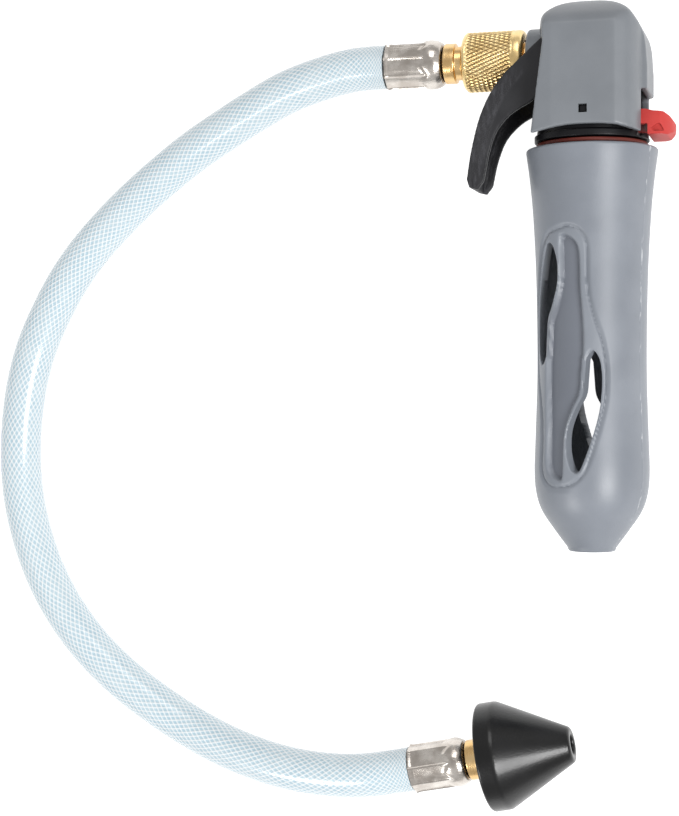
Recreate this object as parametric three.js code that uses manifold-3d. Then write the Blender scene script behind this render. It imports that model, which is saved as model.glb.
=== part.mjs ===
// Cartridge drain gun: a trigger valve head on a hollow screw-off handle, a clear braided hose
// on a knurled brass nut, and a rubber cone that presses into a drain.
//
// Millimetres. The gun lies on its side on z = 0. The origin is on that surface, where the
// handle's axis crosses the outlet's. +Y runs up the handle's axis towards the head, +X to the
// back of the head, and -X out of the outlet. Pieces of the gun are built round an axis at
// z = 0, inside a group that lifts them to the height of that axis.

import * as THREE from 'three';
import { mergeVertices } from 'three/addons/utils/BufferGeometryUtils.js';
import Module from 'manifold-3d';

// ---- Driving dimensions -------------------------------------------------------------------

const GAP = 0.3; // air between neighbouring pieces
const ROUND = 36; // facets round a large turned piece
const SMALL_ROUND = 20; // facets round a small turned piece
const FAR = 60; // reach of a cutting tool past the pieces

// Handle: a hollow grip that holds the cartridge
const RIM_RADIUS = 18;
const RIM_Y = -25.7;
const HANDLE_LENGTH = 110.3;
const WAIST_RADIUS = 14.9;
const BULGE_RADIUS = 15.7;
const HANDLE_END_RADIUS = 6.2;
const HANDLE_FLOOR = 5; // thickness of the closed end
const PATTERN_TURN = -25; // degrees round the axis from +Z towards +X
const PATTERN_SHARE = 0.52; // where its middle lies, as a share of the handle from the rim
const PATTERN_HALF_LENGTH = 35;

// Neck of the valve body, which the handle screws on to
const NECK_RADIUS = 12;
const NECK_LENGTH = 12.6;
const FLANGE_RADIUS = 15.7;
const FLANGE_THICKNESS = 3.3;
const SEAL_THICKNESS = 1.2;

// Head shroud
const HEAD_WALL = 2;
const HEAD_TOP = 14.8;
const HEAD_FRONT = 13.6;
const HEAD_BACK = 16;
const HEAD_CROWN_RADIUS = 25; // of the top, seen from the front
const HOOD_HEIGHT = 12.6; // from the crown down to where the skirt starts
const HOOD_BOW = 2.7; // how far the hood's front bows out past its sides
const SKIRT_ARCH = 2;
const LATCH_SIZE = 2.3;
const LATCH_Y = -17;
const NOTCH_TOP = -11;
const NOTCH_HALF_WIDTH = 9.6;

// Valve column and what it holds
const COLUMN_RADIUS = 6.2;
const COLUMN_TOP = 5.2;
const CHAMBER_RADIUS = 3.9;
const SPRING_BORE = 3.3;
const SPRING_WIRE_RADIUS = 0.35;
const SPRING_TURNS = 4;
const STEM_RADIUS = 1.3;
const STEM_TOP = 7.6;
const SEAT_Y = -7;

// Trigger and its pin
const PIVOT_X = 8;
const PIVOT_Y = 5;
const PIN_RADIUS = 1.25;
const HUB_RADIUS = 3.2;
const ARM_THICKNESS = 2.2;
const TRIGGER_WALL = 1.6;
const TRIGGER_TIP_HALF = 6.8;
const TRIGGER_TAPER_Y = -12; // where the trigger starts to narrow
const TRIGGER_SHELL = 2.2;
const EAR_THICKNESS = 1.9;

// Safety clip
const CLIP_HALF_WIDTH = 8;
const CLIP_TRAVEL = 3;
const CLIP_DROP = 2.5; // how far its pad hangs below the top of the flange
const CLIP_REACH = 6.9; // how far its pad stands out behind the head
const CLIP_BOW = 3.4; // how far the pad's middle stands out past its sides
const CLIP_PLATE = 2;

// Outlet, nut and hose fittings
const BOSS_RADIUS = 8.2;
const BOSS_REACH = 17.3;
const BOSS_SHOULDER = 9.6; // where the boss narrows, under the trigger's arm
const BOSS_NECK_RADIUS = 5.1;
const NIPPLE_RADIUS = 3.7;
const NIPPLE_BORE = 2;
const THREAD_RADIUS = 5.2;
const NUT_RADIUS = 8.3;
const NUT_LENGTH = 17.3;
const NUT_WALL = 3.4; // thickness of the nut's far end
const SWIVEL_NECK = 2.3;
const COLLAR_RADIUS = 5.6;
const COLLAR_LENGTH = 3.1;
const FERRULE_WALL = 0.7;
const FERRULE_LENGTH = 16.9;
const TAIL_RADIUS = 3.7;
const TAIL_BORE = 2.2;

// Hose
const HOSE_DIAMETER = 12.4;
const HOSE_BORE = 8;
const HOSE_SIDES = 12;
const HOSE_STEPS = 38;

// Rubber cone
const CONE_RADIUS = 15.1;
const CONE_TIP_RADIUS = 4.8;
const CONE_LENGTH = 24.8;
const CONE_LAND = 5;
const CONE_BORE = 2.6;
const CONE_TURN = 11.5; // degrees that the cone's axis is turned from +X
const CONE_STUB_LENGTH = 12;

// ---- Sizes and places worked out from them --------------------------------------------------

const REST_HEIGHT = RIM_RADIUS;
const HANDLE_BORE = NECK_RADIUS + 0.35;
const FLANGE_BOTTOM = RIM_Y + GAP + SEAL_THICKNESS + GAP;
const FLANGE_TOP = FLANGE_BOTTOM + FLANGE_THICKNESS;
const NECK_BOTTOM = FLANGE_BOTTOM - NECK_LENGTH - SEAL_THICKNESS;
const SKIRT_BOTTOM = FLANGE_TOP - 2.4;
const HEAD_HALF = REST_HEIGHT;
const TRIGGER_INNER_HALF = Math.max(NUT_RADIUS, BOSS_RADIUS) + GAP; // the trigger straddles both
const TRIGGER_HALF = TRIGGER_INNER_HALF + TRIGGER_WALL;
const EAR_INNER_HALF = TRIGGER_HALF + 1;
const EAR_OUTER_HALF = EAR_INNER_HALF + EAR_THICKNESS;
const NUT_START = BOSS_REACH + 1;
const NUT_END = NUT_START + NUT_LENGTH;
const COLLAR_START = NUT_END + SWIVEL_NECK;
const FERRULE_START = COLLAR_START + COLLAR_LENGTH;
const FERRULE_RADIUS = HOSE_DIAMETER / 2 + 0.2;
const HOSE_LYING = HOSE_DIAMETER / 2 + 0.1; // height of the hose's middle on the surface
const GUN_MOUTH = -(FERRULE_START + FERRULE_LENGTH);
const LANCE_TOP = FLANGE_BOTTOM + 0.6;
const LANCE_BASE_HEIGHT = 3.4;
const LANCE_BASE_RADIUS = 4.6;
const LANCE_BASE_BOTTOM = LANCE_TOP - LANCE_BASE_HEIGHT;
const CHAMBER_BOTTOM = SEAT_Y - 9;

const GREY = [0x8b8f95, 0.55, 0];
const LIGHT_GREY = [0x969ba4, 0.55, 0];
const BLACK = [0x1f1f20, 0.5, 0];
const TRIGGER_BLACK = [0x39393b, 0.6, 0];
const BRASS = [0xc8a060, 0.35, 1];
const STEEL = [0xb4b2ae, 0.35, 1];
const NICKEL = [0xbab4ab, 0.25, 1];
const RUST_RED = [0x6e3932, 0.6, 0];
const CLIP_RED = [0xd94f4b, 0.35, 0];
const RUBBER = [0x161617, 0.45, 0];
const CLEAR_BLUE = [0xd6eaf6, 0.2, 0];
const CREAM = [0xd8d4c4, 0.5, 0];

// ---- Helpers --------------------------------------------------------------------------------

const wasm = await Module();
wasm.setup();

// One closed body: vertices at the same place are joined, faces of no area are dropped, and
// the faces are turned outwards.
function closed(source) {
  const bare = source.clone();
  bare.deleteAttribute('normal');
  bare.deleteAttribute('uv');
  const merged = mergeVertices(bare, 1e-4);
  const points = merged.getAttribute('position');
  const indices = [...merged.index.array];
  const faces = Array.from({ length: indices.length / 3 }, (_, i) => indices.slice(3 * i, 3 * i + 3))
    .filter((face) => new Set(face).size === 3);
  let volume = 0;
  for (const face of faces) {
    const [p, q, r] = face.map((n) => new THREE.Vector3().fromBufferAttribute(points, n));
    volume += p.dot(q.cross(r));
  }
  const ordered = volume < 0 ? faces.map(([a, b, c]) => [a, c, b]) : faces;
  merged.setIndex(ordered.flat());
  return merged;
}

function solid(geometry) {
  const shape = closed(geometry);
  return new wasm.Manifold(new wasm.Mesh({
    numProp: 3,
    vertProperties: new Float32Array(shape.getAttribute('position').array),
    triVerts: new Uint32Array(shape.index.array),
  }));
}

function surface(manifold) {
  const result = manifold.getMesh();
  const geometry = new THREE.BufferGeometry();
  geometry.setAttribute('position', new THREE.BufferAttribute(result.vertProperties, 3));
  geometry.setIndex(new THREE.BufferAttribute(result.triVerts, 1));
  return geometry;
}

function cut(geometry, ...tools) {
  return surface(tools.reduce((left, tool) => left.subtract(solid(tool)), solid(geometry)));
}

function join(geometry, ...others) {
  return surface(others.reduce((whole, other) => whole.add(solid(other)), solid(geometry)));
}

function common(geometry, ...others) {
  return surface(others.reduce((left, other) => left.intersect(solid(other)), solid(geometry)));
}

// A turned piece on the Y axis, from a closed outline of [radius, y] points.
function turned(outline, facets = SMALL_ROUND) {
  const points = outline.map(([radius, y]) => new THREE.Vector2(radius, y));
  const onAxis = outline[0][0] === 0 && outline.at(-1)[0] === 0;
  if (!onAxis) points.push(points[0].clone());
  return closed(new THREE.LatheGeometry(points, facets));
}

// The same, turned to run along +X, so an outline point is [radius, x].
function turnedAlongX(outline, facets = SMALL_ROUND) {
  return turned(outline, facets).rotateZ(-Math.PI / 2);
}

function tube(outerRadius, innerRadius, from, to, facets = SMALL_ROUND) {
  return turned([[innerRadius, from], [outerRadius, from], [outerRadius, to], [innerRadius, to]], facets);
}

function rod(radius, from, to, facets = SMALL_ROUND) {
  return turned([[0, from], [radius, from], [radius, to], [0, to]], facets);
}

function rodAlongX(radius, from, to, facets = SMALL_ROUND) {
  return rod(radius, from, to, facets).rotateZ(-Math.PI / 2);
}

function rodAlongZ(radius, half, facets = SMALL_ROUND) {
  return rod(radius, -half, half, facets).rotateX(Math.PI / 2);
}

function block([x0, x1], [y0, y1], [z0, z1]) {
  const box = new THREE.BoxGeometry(x1 - x0, y1 - y0, z1 - z0);
  return box.translate((x0 + x1) / 2, (y0 + y1) / 2, (z0 + z1) / 2);
}

// A plate of an XY outline, centred on z = 0.
function plate(outline, halfThickness) {
  const shape = new THREE.Shape(outline.map(([x, y]) => new THREE.Vector2(x, y)));
  const geometry = new THREE.ExtrudeGeometry(shape, { depth: 2 * halfThickness, bevelEnabled: false });
  return geometry.translate(0, 0, -halfThickness);
}

// Points of a smooth open curve through the given ones.
function curve(points, steps) {
  const line = new THREE.SplineCurve(points.map(([x, y]) => new THREE.Vector2(x, y)));
  return line.getPoints(steps).map(({ x, y }) => [x, y]);
}

function arc([x, y], radius, fromDegrees, toDegrees, steps = 8) {
  return Array.from({ length: steps + 1 }, (_, i) => {
    const angle = THREE.MathUtils.degToRad(fromDegrees + (toDegrees - fromDegrees) * i / steps);
    return [x + radius * Math.cos(angle), y + radius * Math.sin(angle)];
  });
}

// The corners of a regular outline round (0, 0).
function ring(radius, sides) {
  return arc([0, 0], radius, 0, 360 - 360 / sides, sides - 1).map(([x, y]) => new THREE.Vector2(x, y));
}

function mirrored(outline) {
  return outline.map(([x, y]) => [-x, -y]);
}

const gun = new THREE.Group();
gun.position.z = REST_HEIGHT;
const drainEnd = new THREE.Group();
const root = new THREE.Group();
root.add(gun, drainEnd);

function add(group, name, geometry, [color, roughness, metalness]) {
  const finish = new THREE.MeshStandardMaterial({ color, roughness, metalness });
  const piece = new THREE.Mesh(closed(geometry), finish);
  piece.name = name;
  group.add(piece);
}

// ---- Handle ---------------------------------------------------------------------------------

// Outside of the grip from the rim down: a flared rim, a long waist, a bulge and a round end.
function handleOutline() {
  const down = (share) => RIM_Y - share * HANDLE_LENGTH;
  const side = curve([
    [RIM_RADIUS, down(0.008)],
    [RIM_RADIUS - 1, down(0.075)],
    [WAIST_RADIUS + 1.1, down(0.175)],
    [WAIST_RADIUS + 0.3, down(0.33)],
    [WAIST_RADIUS, down(0.54)],
    [BULGE_RADIUS - 0.3, down(0.71)],
    [BULGE_RADIUS, down(0.8)],
    [BULGE_RADIUS - 0.5, down(0.855)],
    [BULGE_RADIUS - 2.1, down(0.9)],
    [HANDLE_END_RADIUS + 3.7, down(0.948)],
    [HANDLE_END_RADIUS + 0.4, down(0.99)],
  ], 20);
  return [[RIM_RADIUS - 0.5, RIM_Y], ...side, [HANDLE_END_RADIUS, down(1)]];
}

// One window of the pattern, as shares of the pattern's half length: a leaf with its wide end
// down. The second window of a side is the same one turned half round the pattern's centre.
const WINDOW = [
  [0.19, -0.02], [0.243, 0.05], [0.29, 0], [0.312, -0.1], [0.315, -0.25], [0.295, -0.43],
  [0.24, -0.64], [0.172, -0.835], [0.135, -0.885], [0.085, -0.86], [0.046, -0.73], [0.05, -0.57],
  [0.105, -0.41], [0.165, -0.29], [0.18, -0.16],
];

function windowTool(outline) {
  const points = outline.map(([across, along]) => new THREE.Vector3(across, along, 0));
  const loop = new THREE.CatmullRomCurve3(points, true);
  const middle = RIM_Y - PATTERN_SHARE * HANDLE_LENGTH;
  // The window is measured round the grip, and cut straight in along the pattern's own axis.
  const flat = loop.getPoints(30).slice(0, -1).map(({ x, y }) => [
    WAIST_RADIUS * Math.sin(x * PATTERN_HALF_LENGTH / WAIST_RADIUS),
    middle + y * PATTERN_HALF_LENGTH,
  ]);
  return plate(flat, RIM_RADIUS / 2).translate(0, 0, RIM_RADIUS / 2 + 2);
}

function handle() {
  const outside = handleOutline();
  const floor = RIM_Y - HANDLE_LENGTH + HANDLE_FLOOR;
  const body = turned([
    [0, floor],
    [HANDLE_BORE * 0.45, floor + 0.8],
    [HANDLE_BORE * 0.8, floor + 4.5],
    [HANDLE_BORE, floor + 11],
    [HANDLE_BORE, RIM_Y],
    ...outside,
    [0, RIM_Y - HANDLE_LENGTH],
  ], ROUND);
  const tools = [];
  for (const side of [0, 180]) {
    for (const outline of [WINDOW, mirrored(WINDOW)]) {
      const turn = THREE.MathUtils.degToRad(PATTERN_TURN + side);
      tools.push(windowTool(outline).rotateY(turn));
    }
  }
  return cut(body, ...tools);
}

add(gun, 'handle', handle(), LIGHT_GREY);

// ---- Head shroud ----------------------------------------------------------------------------

// Side view of the head, shrunk by an inset for the hollow inside it.
function headSide(inset) {
  const bottom = SKIRT_BOTTOM - 20 * Math.sign(inset);
  const dome = curve([
    [-HEAD_FRONT + inset, HEAD_TOP - 10],
    [-HEAD_FRONT + 1.6 + inset * 0.9, HEAD_TOP - 6.4 - inset * 0.3],
    [-HEAD_FRONT + 3.8 + inset * 0.7, HEAD_TOP - 3.4 - inset * 0.7],
    [-HEAD_FRONT + 7.7 + inset * 0.3, HEAD_TOP - 0.9 - inset],
    [-0.4, HEAD_TOP - inset],
    [HEAD_BACK - 11, HEAD_TOP - 0.9 - inset],
    [HEAD_BACK - 6.2 - inset * 0.5, HEAD_TOP - 3.2 - inset * 0.9],
    [HEAD_BACK - 3.1 - inset * 0.75, HEAD_TOP - 6.5 - inset * 0.6],
    [HEAD_BACK - 0.8 - inset, HEAD_TOP - 11.5],
    [HEAD_BACK - inset, HEAD_TOP - 19.5],
  ], 22);
  const foot = inset > 0
    ? [[HEAD_BACK - inset, bottom], [-HEAD_FRONT - 0.8 + inset, bottom]]
    : curve([
      [HEAD_BACK, SKIRT_BOTTOM],
      [HEAD_BACK / 2, SKIRT_BOTTOM + 0.78 * SKIRT_ARCH],
      [0, SKIRT_BOTTOM + SKIRT_ARCH],
      [-HEAD_FRONT / 2, SKIRT_BOTTOM + 0.78 * SKIRT_ARCH],
      [-HEAD_FRONT - 0.6, SKIRT_BOTTOM],
    ], 8);
  return [...dome, ...foot, [-HEAD_FRONT + HOOD_BOW + inset, HEAD_TOP - HOOD_HEIGHT]];
}

// Plan of the head: flat sides, two soft rear corners, and a raised strip up the back.
function headPlan(inset) {
  const half = HEAD_HALF - inset;
  const back = HEAD_BACK - inset;
  const quarter = [
    [-HEAD_FRONT - 1 - 30 * Math.sign(inset), half - 1],
    [-HEAD_FRONT + 5, half],
    ...curve([
      [8.6, half],
      [back - 4.3, half - 1.9],
      [back - 2.4, half - 4.8],
      [back - 1.4, NOTCH_HALF_WIDTH],
    ], 6),
    [back, NOTCH_HALF_WIDTH - 1.2],
  ];
  const other = quarter.map(([x, z]) => [x, -z]).reverse();
  return plate([...quarter, ...other], FAR).rotateX(Math.PI / 2);
}

// Front view of the head: flat sides under a crown.
function headFront(inset) {
  const half = HEAD_HALF - inset;
  const radius = HEAD_CROWN_RADIUS - inset;
  const centre = [0, HEAD_TOP - HEAD_CROWN_RADIUS];
  const spread = THREE.MathUtils.radToDeg(Math.asin((half - 1.6) / radius));
  const crown = arc(centre, radius, 90 - spread, 90 + spread, 10);
  const shoulder = crown[0][1] - 2.4;
  return plate([
    [half, -FAR],
    [half, shoulder],
    ...crown,
    [-half, shoulder],
    [-half, -FAR],
  ], FAR).rotateY(Math.PI / 2);
}

// What the hood loses at its two front corners, above the skirt.
function frontCorners() {
  const half = HEAD_HALF;
  const radius = (half * half + HOOD_BOW * HOOD_BOW) / (2 * HOOD_BOW);
  const spread = THREE.MathUtils.radToDeg(Math.asin(half / radius));
  const bow = arc([-HEAD_FRONT + radius, 0], radius, 180 - spread, 180 + spread, 12);
  const edge = bow[0][0];
  const outline = [[-FAR, half + 1], [edge, half + 1], ...bow, [edge, -half - 1], [-FAR, -half - 1]];
  return plate(outline, FAR / 2).rotateX(Math.PI / 2).translate(0, HEAD_TOP - HOOD_HEIGHT + FAR / 2, 0);
}

function headShroud() {
  const blank = common(plate(headSide(0), HEAD_HALF), headPlan(0), headFront(0));
  const outside = cut(blank, frontCorners());
  const hollow = common(
    plate(headSide(HEAD_WALL), HEAD_HALF),
    headPlan(HEAD_WALL),
    headFront(HEAD_WALL),
  );
  const frontOpening = block(
    [-FAR, -HEAD_FRONT + 6],
    [-FAR, HEAD_TOP - 9.6],
    [-HEAD_HALF + HEAD_WALL, HEAD_HALF - HEAD_WALL],
  );
  const bossArch = rodAlongX(BOSS_RADIUS + 0.4, -FAR, -HEAD_FRONT + 8);
  const notch = block(
    [HEAD_BACK - HEAD_WALL - 1.6, FAR],
    [-FAR, NOTCH_TOP],
    [-NOTCH_HALF_WIDTH, NOTCH_HALF_WIDTH],
  );
  const latchHalf = LATCH_SIZE / 2;
  const latch = block(
    [-latchHalf, latchHalf],
    [LATCH_Y - latchHalf, LATCH_Y + latchHalf],
    [-FAR, FAR],
  );
  return cut(outside, hollow, frontOpening, bossArch, notch, latch);
}

add(gun, 'head_shroud', headShroud(), GREY);

// ---- Valve body -----------------------------------------------------------------------------

// Two upright ears hold the trigger's pin and carry the tabs that snap into the shroud.
function ears() {
  const outline = [
    [-6, FLANGE_TOP - 1],
    [PIVOT_X + 3, FLANGE_TOP - 1],
    ...arc([PIVOT_X, PIVOT_Y], HUB_RADIUS - 0.4, 0, 140),
    [-6, -8],
  ];
  const room = [headFront(HEAD_WALL + GAP), headPlan(HEAD_WALL + GAP)];
  const tabHalf = LATCH_SIZE / 2 - 0.35;
  return [1, -1].map((side) => {
    const middle = side * (EAR_INNER_HALF + EAR_OUTER_HALF) / 2;
    const ear = common(plate(outline, EAR_THICKNESS / 2).translate(0, 0, middle), ...room);
    const reach = [side * (EAR_OUTER_HALF - 1), side * (HEAD_HALF - 0.9)].sort((a, b) => a - b);
    return join(ear, block([-tabHalf, tabHalf], [LATCH_Y - tabHalf, LATCH_Y + tabHalf], reach));
  });
}

function valveBody() {
  const core = turned([
    [0, NECK_BOTTOM],
    [NECK_RADIUS - 0.8, NECK_BOTTOM],
    [NECK_RADIUS, NECK_BOTTOM + 0.8],
    [NECK_RADIUS, FLANGE_BOTTOM],
    [FLANGE_RADIUS, FLANGE_BOTTOM],
    [FLANGE_RADIUS, FLANGE_TOP],
    [COLUMN_RADIUS, FLANGE_TOP],
    [COLUMN_RADIUS, COLUMN_TOP - 0.8],
    [COLUMN_RADIUS - 0.8, COLUMN_TOP],
    [0, COLUMN_TOP],
  ], ROUND);
  const clipPocket = block(
    [FLANGE_RADIUS - CLIP_TRAVEL - 0.5, FAR],
    [FLANGE_TOP - CLIP_DROP - GAP, FAR],
    [-CLIP_HALF_WIDTH - 0.4, CLIP_HALF_WIDTH + 0.4],
  );
  return cut(
    join(core, ...ears()),
    rod(6.2, -FAR, LANCE_BASE_BOTTOM - 0.2),
    rod(LANCE_BASE_RADIUS + GAP, -FAR, LANCE_TOP + GAP),
    rod(NIPPLE_BORE - 0.5, -FAR, 0),
    rod(SPRING_BORE, CHAMBER_BOTTOM, FAR),
    rod(CHAMBER_RADIUS, SEAT_Y, FAR),
    rodAlongX(NIPPLE_BORE, -FAR, 0),
    rodAlongX(NIPPLE_RADIUS + GAP, -FAR, -CHAMBER_RADIUS - 0.8),
    rodAlongZ(PIN_RADIUS + GAP, FAR).translate(PIVOT_X, PIVOT_Y, 0),
    clipPocket,
  );
}

add(gun, 'valve_body', valveBody(), BLACK);
const neckSeal = tube(FLANGE_RADIUS - 0.5, NECK_RADIUS + GAP, RIM_Y + GAP, FLANGE_BOTTOM - GAP, ROUND);
add(gun, 'neck_seal', neckSeal, RUST_RED);

// ---- Inside the neck ------------------------------------------------------------------------

// The lance pierces the cartridge; gas passes up the hole through it.
const lance = turned([
  [0.6, LANCE_BASE_BOTTOM - 7],
  [0.9, LANCE_BASE_BOTTOM - 7],
  [1.6, LANCE_BASE_BOTTOM - 5],
  [1.6, LANCE_BASE_BOTTOM],
  [LANCE_BASE_RADIUS, LANCE_BASE_BOTTOM],
  [LANCE_BASE_RADIUS, LANCE_TOP],
  [0.6, LANCE_TOP],
]);
const lanceSeal = tube(5.9, 1.9, LANCE_BASE_BOTTOM - 2.5, LANCE_BASE_BOTTOM - GAP - 0.2);
add(gun, 'piercing_lance', lance, STEEL);
add(gun, 'lance_seal', lanceSeal, RUBBER);

// ---- Inside the valve column ----------------------------------------------------------------

const ringRadius = CHAMBER_RADIUS - GAP;
const cageBottom = SEAT_Y + 2.3;
const capBottom = COLUMN_TOP - 1.7;
const cageTop = capBottom - 1.4;
const stemBore = STEM_RADIUS + GAP;
const cageRing = tube(ringRadius, ringRadius - 1, cageBottom, cageTop);
add(gun, 'valve_seat', tube(ringRadius, stemBore + 0.2, SEAT_Y + GAP, cageBottom - GAP), CREAM);
add(gun, 'valve_cage', cut(cageRing, rodAlongX(NIPPLE_BORE, -FAR, 0)), BRASS);
add(gun, 'stem_seal', tube(ringRadius, stemBore, cageTop + GAP, capBottom - GAP), RUBBER);
add(gun, 'valve_cap', tube(ringRadius, stemBore, capBottom, COLUMN_TOP - 0.1), BRASS);

const poppetTop = SEAT_Y - GAP;
const valveStem = turned([
  [0, poppetTop - 2],
  [SPRING_BORE - 0.6, poppetTop - 2],
  [SPRING_BORE - 0.6, poppetTop],
  [STEM_RADIUS, poppetTop],
  [STEM_RADIUS, STEM_TOP - 0.4],
  [STEM_RADIUS - 0.4, STEM_TOP],
  [0, STEM_TOP],
]);
add(gun, 'valve_stem', valveStem, BRASS);

// Closing spring, a round wire wound under the poppet.
class Helix extends THREE.Curve {
  constructor(radius, from, to, turns) {
    super();
    Object.assign(this, { radius, from, to, turns });
  }

  getPoint(share, target = new THREE.Vector3()) {
    const angle = 2 * Math.PI * this.turns * share;
    const y = this.from + (this.to - this.from) * share;
    return target.set(this.radius * Math.cos(angle), y, this.radius * Math.sin(angle));
  }
}

const springWire = new THREE.Shape(ring(SPRING_WIRE_RADIUS, 6));
const springPath = new Helix(SPRING_BORE - 0.8, CHAMBER_BOTTOM + 0.5, poppetTop - 3.9, SPRING_TURNS);
const valveSpring = new THREE.ExtrudeGeometry(springWire, {
  extrudePath: springPath,
  steps: 12 * SPRING_TURNS,
  bevelEnabled: false,
});
add(gun, 'valve_spring', valveSpring, STEEL);

// ---- Outlet ---------------------------------------------------------------------------------

const bossOutline = [
  [NIPPLE_RADIUS + GAP, -BOSS_REACH],
  [BOSS_RADIUS - 0.8, -BOSS_REACH],
  [BOSS_RADIUS, -BOSS_REACH + 0.8],
  [BOSS_RADIUS, -BOSS_SHOULDER],
  [BOSS_NECK_RADIUS, -BOSS_SHOULDER],
  [BOSS_NECK_RADIUS, -COLUMN_RADIUS + 3],
  [NIPPLE_RADIUS + GAP, -COLUMN_RADIUS + 3],
];
const outletBoss = cut(turnedAlongX(bossOutline, ROUND), rod(COLUMN_RADIUS + GAP, -FAR, FAR, ROUND));
add(gun, 'outlet_boss', outletBoss, GREY);

const nippleShoulder = -BOSS_REACH - GAP;
const nippleEnd = -NUT_END + NUT_WALL + 3.8;
const nipple = turnedAlongX([
  [NIPPLE_BORE, nippleEnd],
  [THREAD_RADIUS - 0.6, nippleEnd],
  [THREAD_RADIUS, nippleEnd + 0.6],
  [THREAD_RADIUS, nippleShoulder],
  [NIPPLE_RADIUS, nippleShoulder],
  [NIPPLE_RADIUS, -CHAMBER_RADIUS - 1.2],
  [NIPPLE_BORE, -CHAMBER_RADIUS - 1.2],
]);
add(gun, 'outlet_nipple', nipple, BRASS);

// The nut turns on the nipple and draws the hose tail's flange against the gasket.
const swivelRadius = TAIL_RADIUS + 0.2;
const couplingNut = turnedAlongX([
  [THREAD_RADIUS + GAP, -NUT_START],
  [NUT_RADIUS - 0.9, -NUT_START],
  [NUT_RADIUS, -NUT_START - 0.9],
  [NUT_RADIUS, -NUT_END + 1.6],
  [NUT_RADIUS - 1.2, -NUT_END],
  [swivelRadius + GAP, -NUT_END],
  [swivelRadius + GAP, -NUT_END + NUT_WALL],
  [THREAD_RADIUS + GAP, -NUT_END + NUT_WALL],
], 40);
add(gun, 'coupling_nut', couplingNut, BRASS);

const flangeFrom = -NUT_END + NUT_WALL + GAP;
const flangeTo = flangeFrom + 1.8;
const gasket = turnedAlongX([
  [TAIL_BORE + 0.4, flangeTo + GAP],
  [THREAD_RADIUS - 0.2, flangeTo + GAP],
  [THREAD_RADIUS - 0.2, nippleEnd - GAP],
  [TAIL_BORE + 0.4, nippleEnd - GAP],
]);
add(gun, 'nut_gasket', gasket, RUBBER);

// ---- Hose fittings --------------------------------------------------------------------------

// A crimped ferrule along +X from the hose's mouth at x = 0: eight pressed flats, then the
// round shoulder that the press leaves.
function ferrule() {
  const length = FERRULE_LENGTH;
  const inner = FERRULE_RADIUS - FERRULE_WALL;
  const shell = turnedAlongX([
    [inner, GAP],
    [FERRULE_RADIUS + 0.3, GAP],
    [FERRULE_RADIUS + 0.3, length - 5.6],
    [FERRULE_RADIUS + 0.5, length - 4],
    [FERRULE_RADIUS + 0.5, length - 2.6],
    [FERRULE_RADIUS - 0.4, length - GAP],
    [COLLAR_RADIUS - 0.8, length - GAP],
    [inner, length - 3],
  ], 32);
  const flats = rodAlongX(FERRULE_RADIUS + 0.3, -1, length - 5.4, 8);
  const round = rodAlongX(FERRULE_RADIUS + 2, length - 5.6, length + 1, 32);
  return common(shell, join(flats, round));
}

// The tail has barbs inside the hose and a collar outside it; what follows the collar differs.
function hoseTail(rest) {
  const barbs = [2, 6, 10].flatMap((x) => [
    [TAIL_RADIUS - 0.7, x - 1.2],
    [TAIL_RADIUS, x + 1.6],
    [TAIL_RADIUS - 0.7, x + 1.8],
  ]);
  const last = rest.at(-1)[1];
  return turnedAlongX([
    [TAIL_BORE, 0.8],
    ...barbs,
    [TAIL_RADIUS, FERRULE_LENGTH],
    [COLLAR_RADIUS - 0.2, FERRULE_LENGTH],
    [COLLAR_RADIUS, FERRULE_LENGTH + 0.2],
    [COLLAR_RADIUS, FERRULE_LENGTH + COLLAR_LENGTH - 0.2],
    [COLLAR_RADIUS - 0.2, FERRULE_LENGTH + COLLAR_LENGTH],
    ...rest,
    [TAIL_BORE, last],
  ]);
}

const collarEnd = FERRULE_LENGTH + COLLAR_LENGTH;
const neckEnd = collarEnd + SWIVEL_NECK - GAP;
const gunTail = hoseTail([
  [COLLAR_RADIUS - 0.9, collarEnd],
  [COLLAR_RADIUS - 0.9, neckEnd],
  [swivelRadius, neckEnd],
  [swivelRadius, flangeFrom - GUN_MOUTH],
  [THREAD_RADIUS, flangeFrom - GUN_MOUTH],
  [THREAD_RADIUS, flangeTo - GUN_MOUTH],
]);
add(gun, 'gun_hose_tail', gunTail.translate(GUN_MOUTH, 0, 0), BRASS);
add(gun, 'gun_ferrule', ferrule().translate(GUN_MOUTH, 0, 0), NICKEL);

// ---- Hose -----------------------------------------------------------------------------------

// Centre line of the hose, from the gun's ferrule to the cone's. It leaves level, comes down to
// the surface, lies on it in one wide bend, and lifts to the cone.
const HOSE_ROUTE = [
  [-58.1, 0, 18], [-62.2, 0, 18], [-69, -0.4, 17.71], [-77.8, -2.1, 16.82], [-88.5, -5.1, 15.25],
  [-98.7, -9.5, 13.38], [-108.7, -14.4, 11.41], [-118.7, -19.7, 9.54], [-128, -25.6, 7.97],
  [-137.2, -32.3, 6.89], [-145.8, -39.6, 6.3], [-153.9, -47.8, 6.3], [-161.2, -57, 6.3],
  [-167.3, -67.2, 6.3], [-172.4, -78.1, 6.3], [-175.7, -89.7, 6.3], [-177.4, -101.8, 6.3],
  [-177.7, -114.1, 6.3], [-176.3, -126.4, 6.3], [-173.1, -138.4, 6.3], [-168.2, -149.9, 6.3],
  [-161.6, -160.5, 6.3], [-153.5, -170, 6.3], [-144.2, -178.2, 6.3], [-133.9, -185.3, 6.4],
  [-123.2, -191.3, 7], [-112, -196.2, 8.4], [-100.2, -199.8, 10.2], [-88.3, -202, 12],
  [-76.2, -202.7, 13.6], [-65.5, -202, 14.8], [-56.5, -200.4, 15.1], [-51.4, -199.34, 15.1],
];

function hoseSection() {
  const section = new THREE.Shape(ring(HOSE_DIAMETER / 2, HOSE_SIDES));
  section.holes.push(new THREE.Path(ring(HOSE_BORE / 2, HOSE_SIDES).reverse()));
  return section;
}

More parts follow.
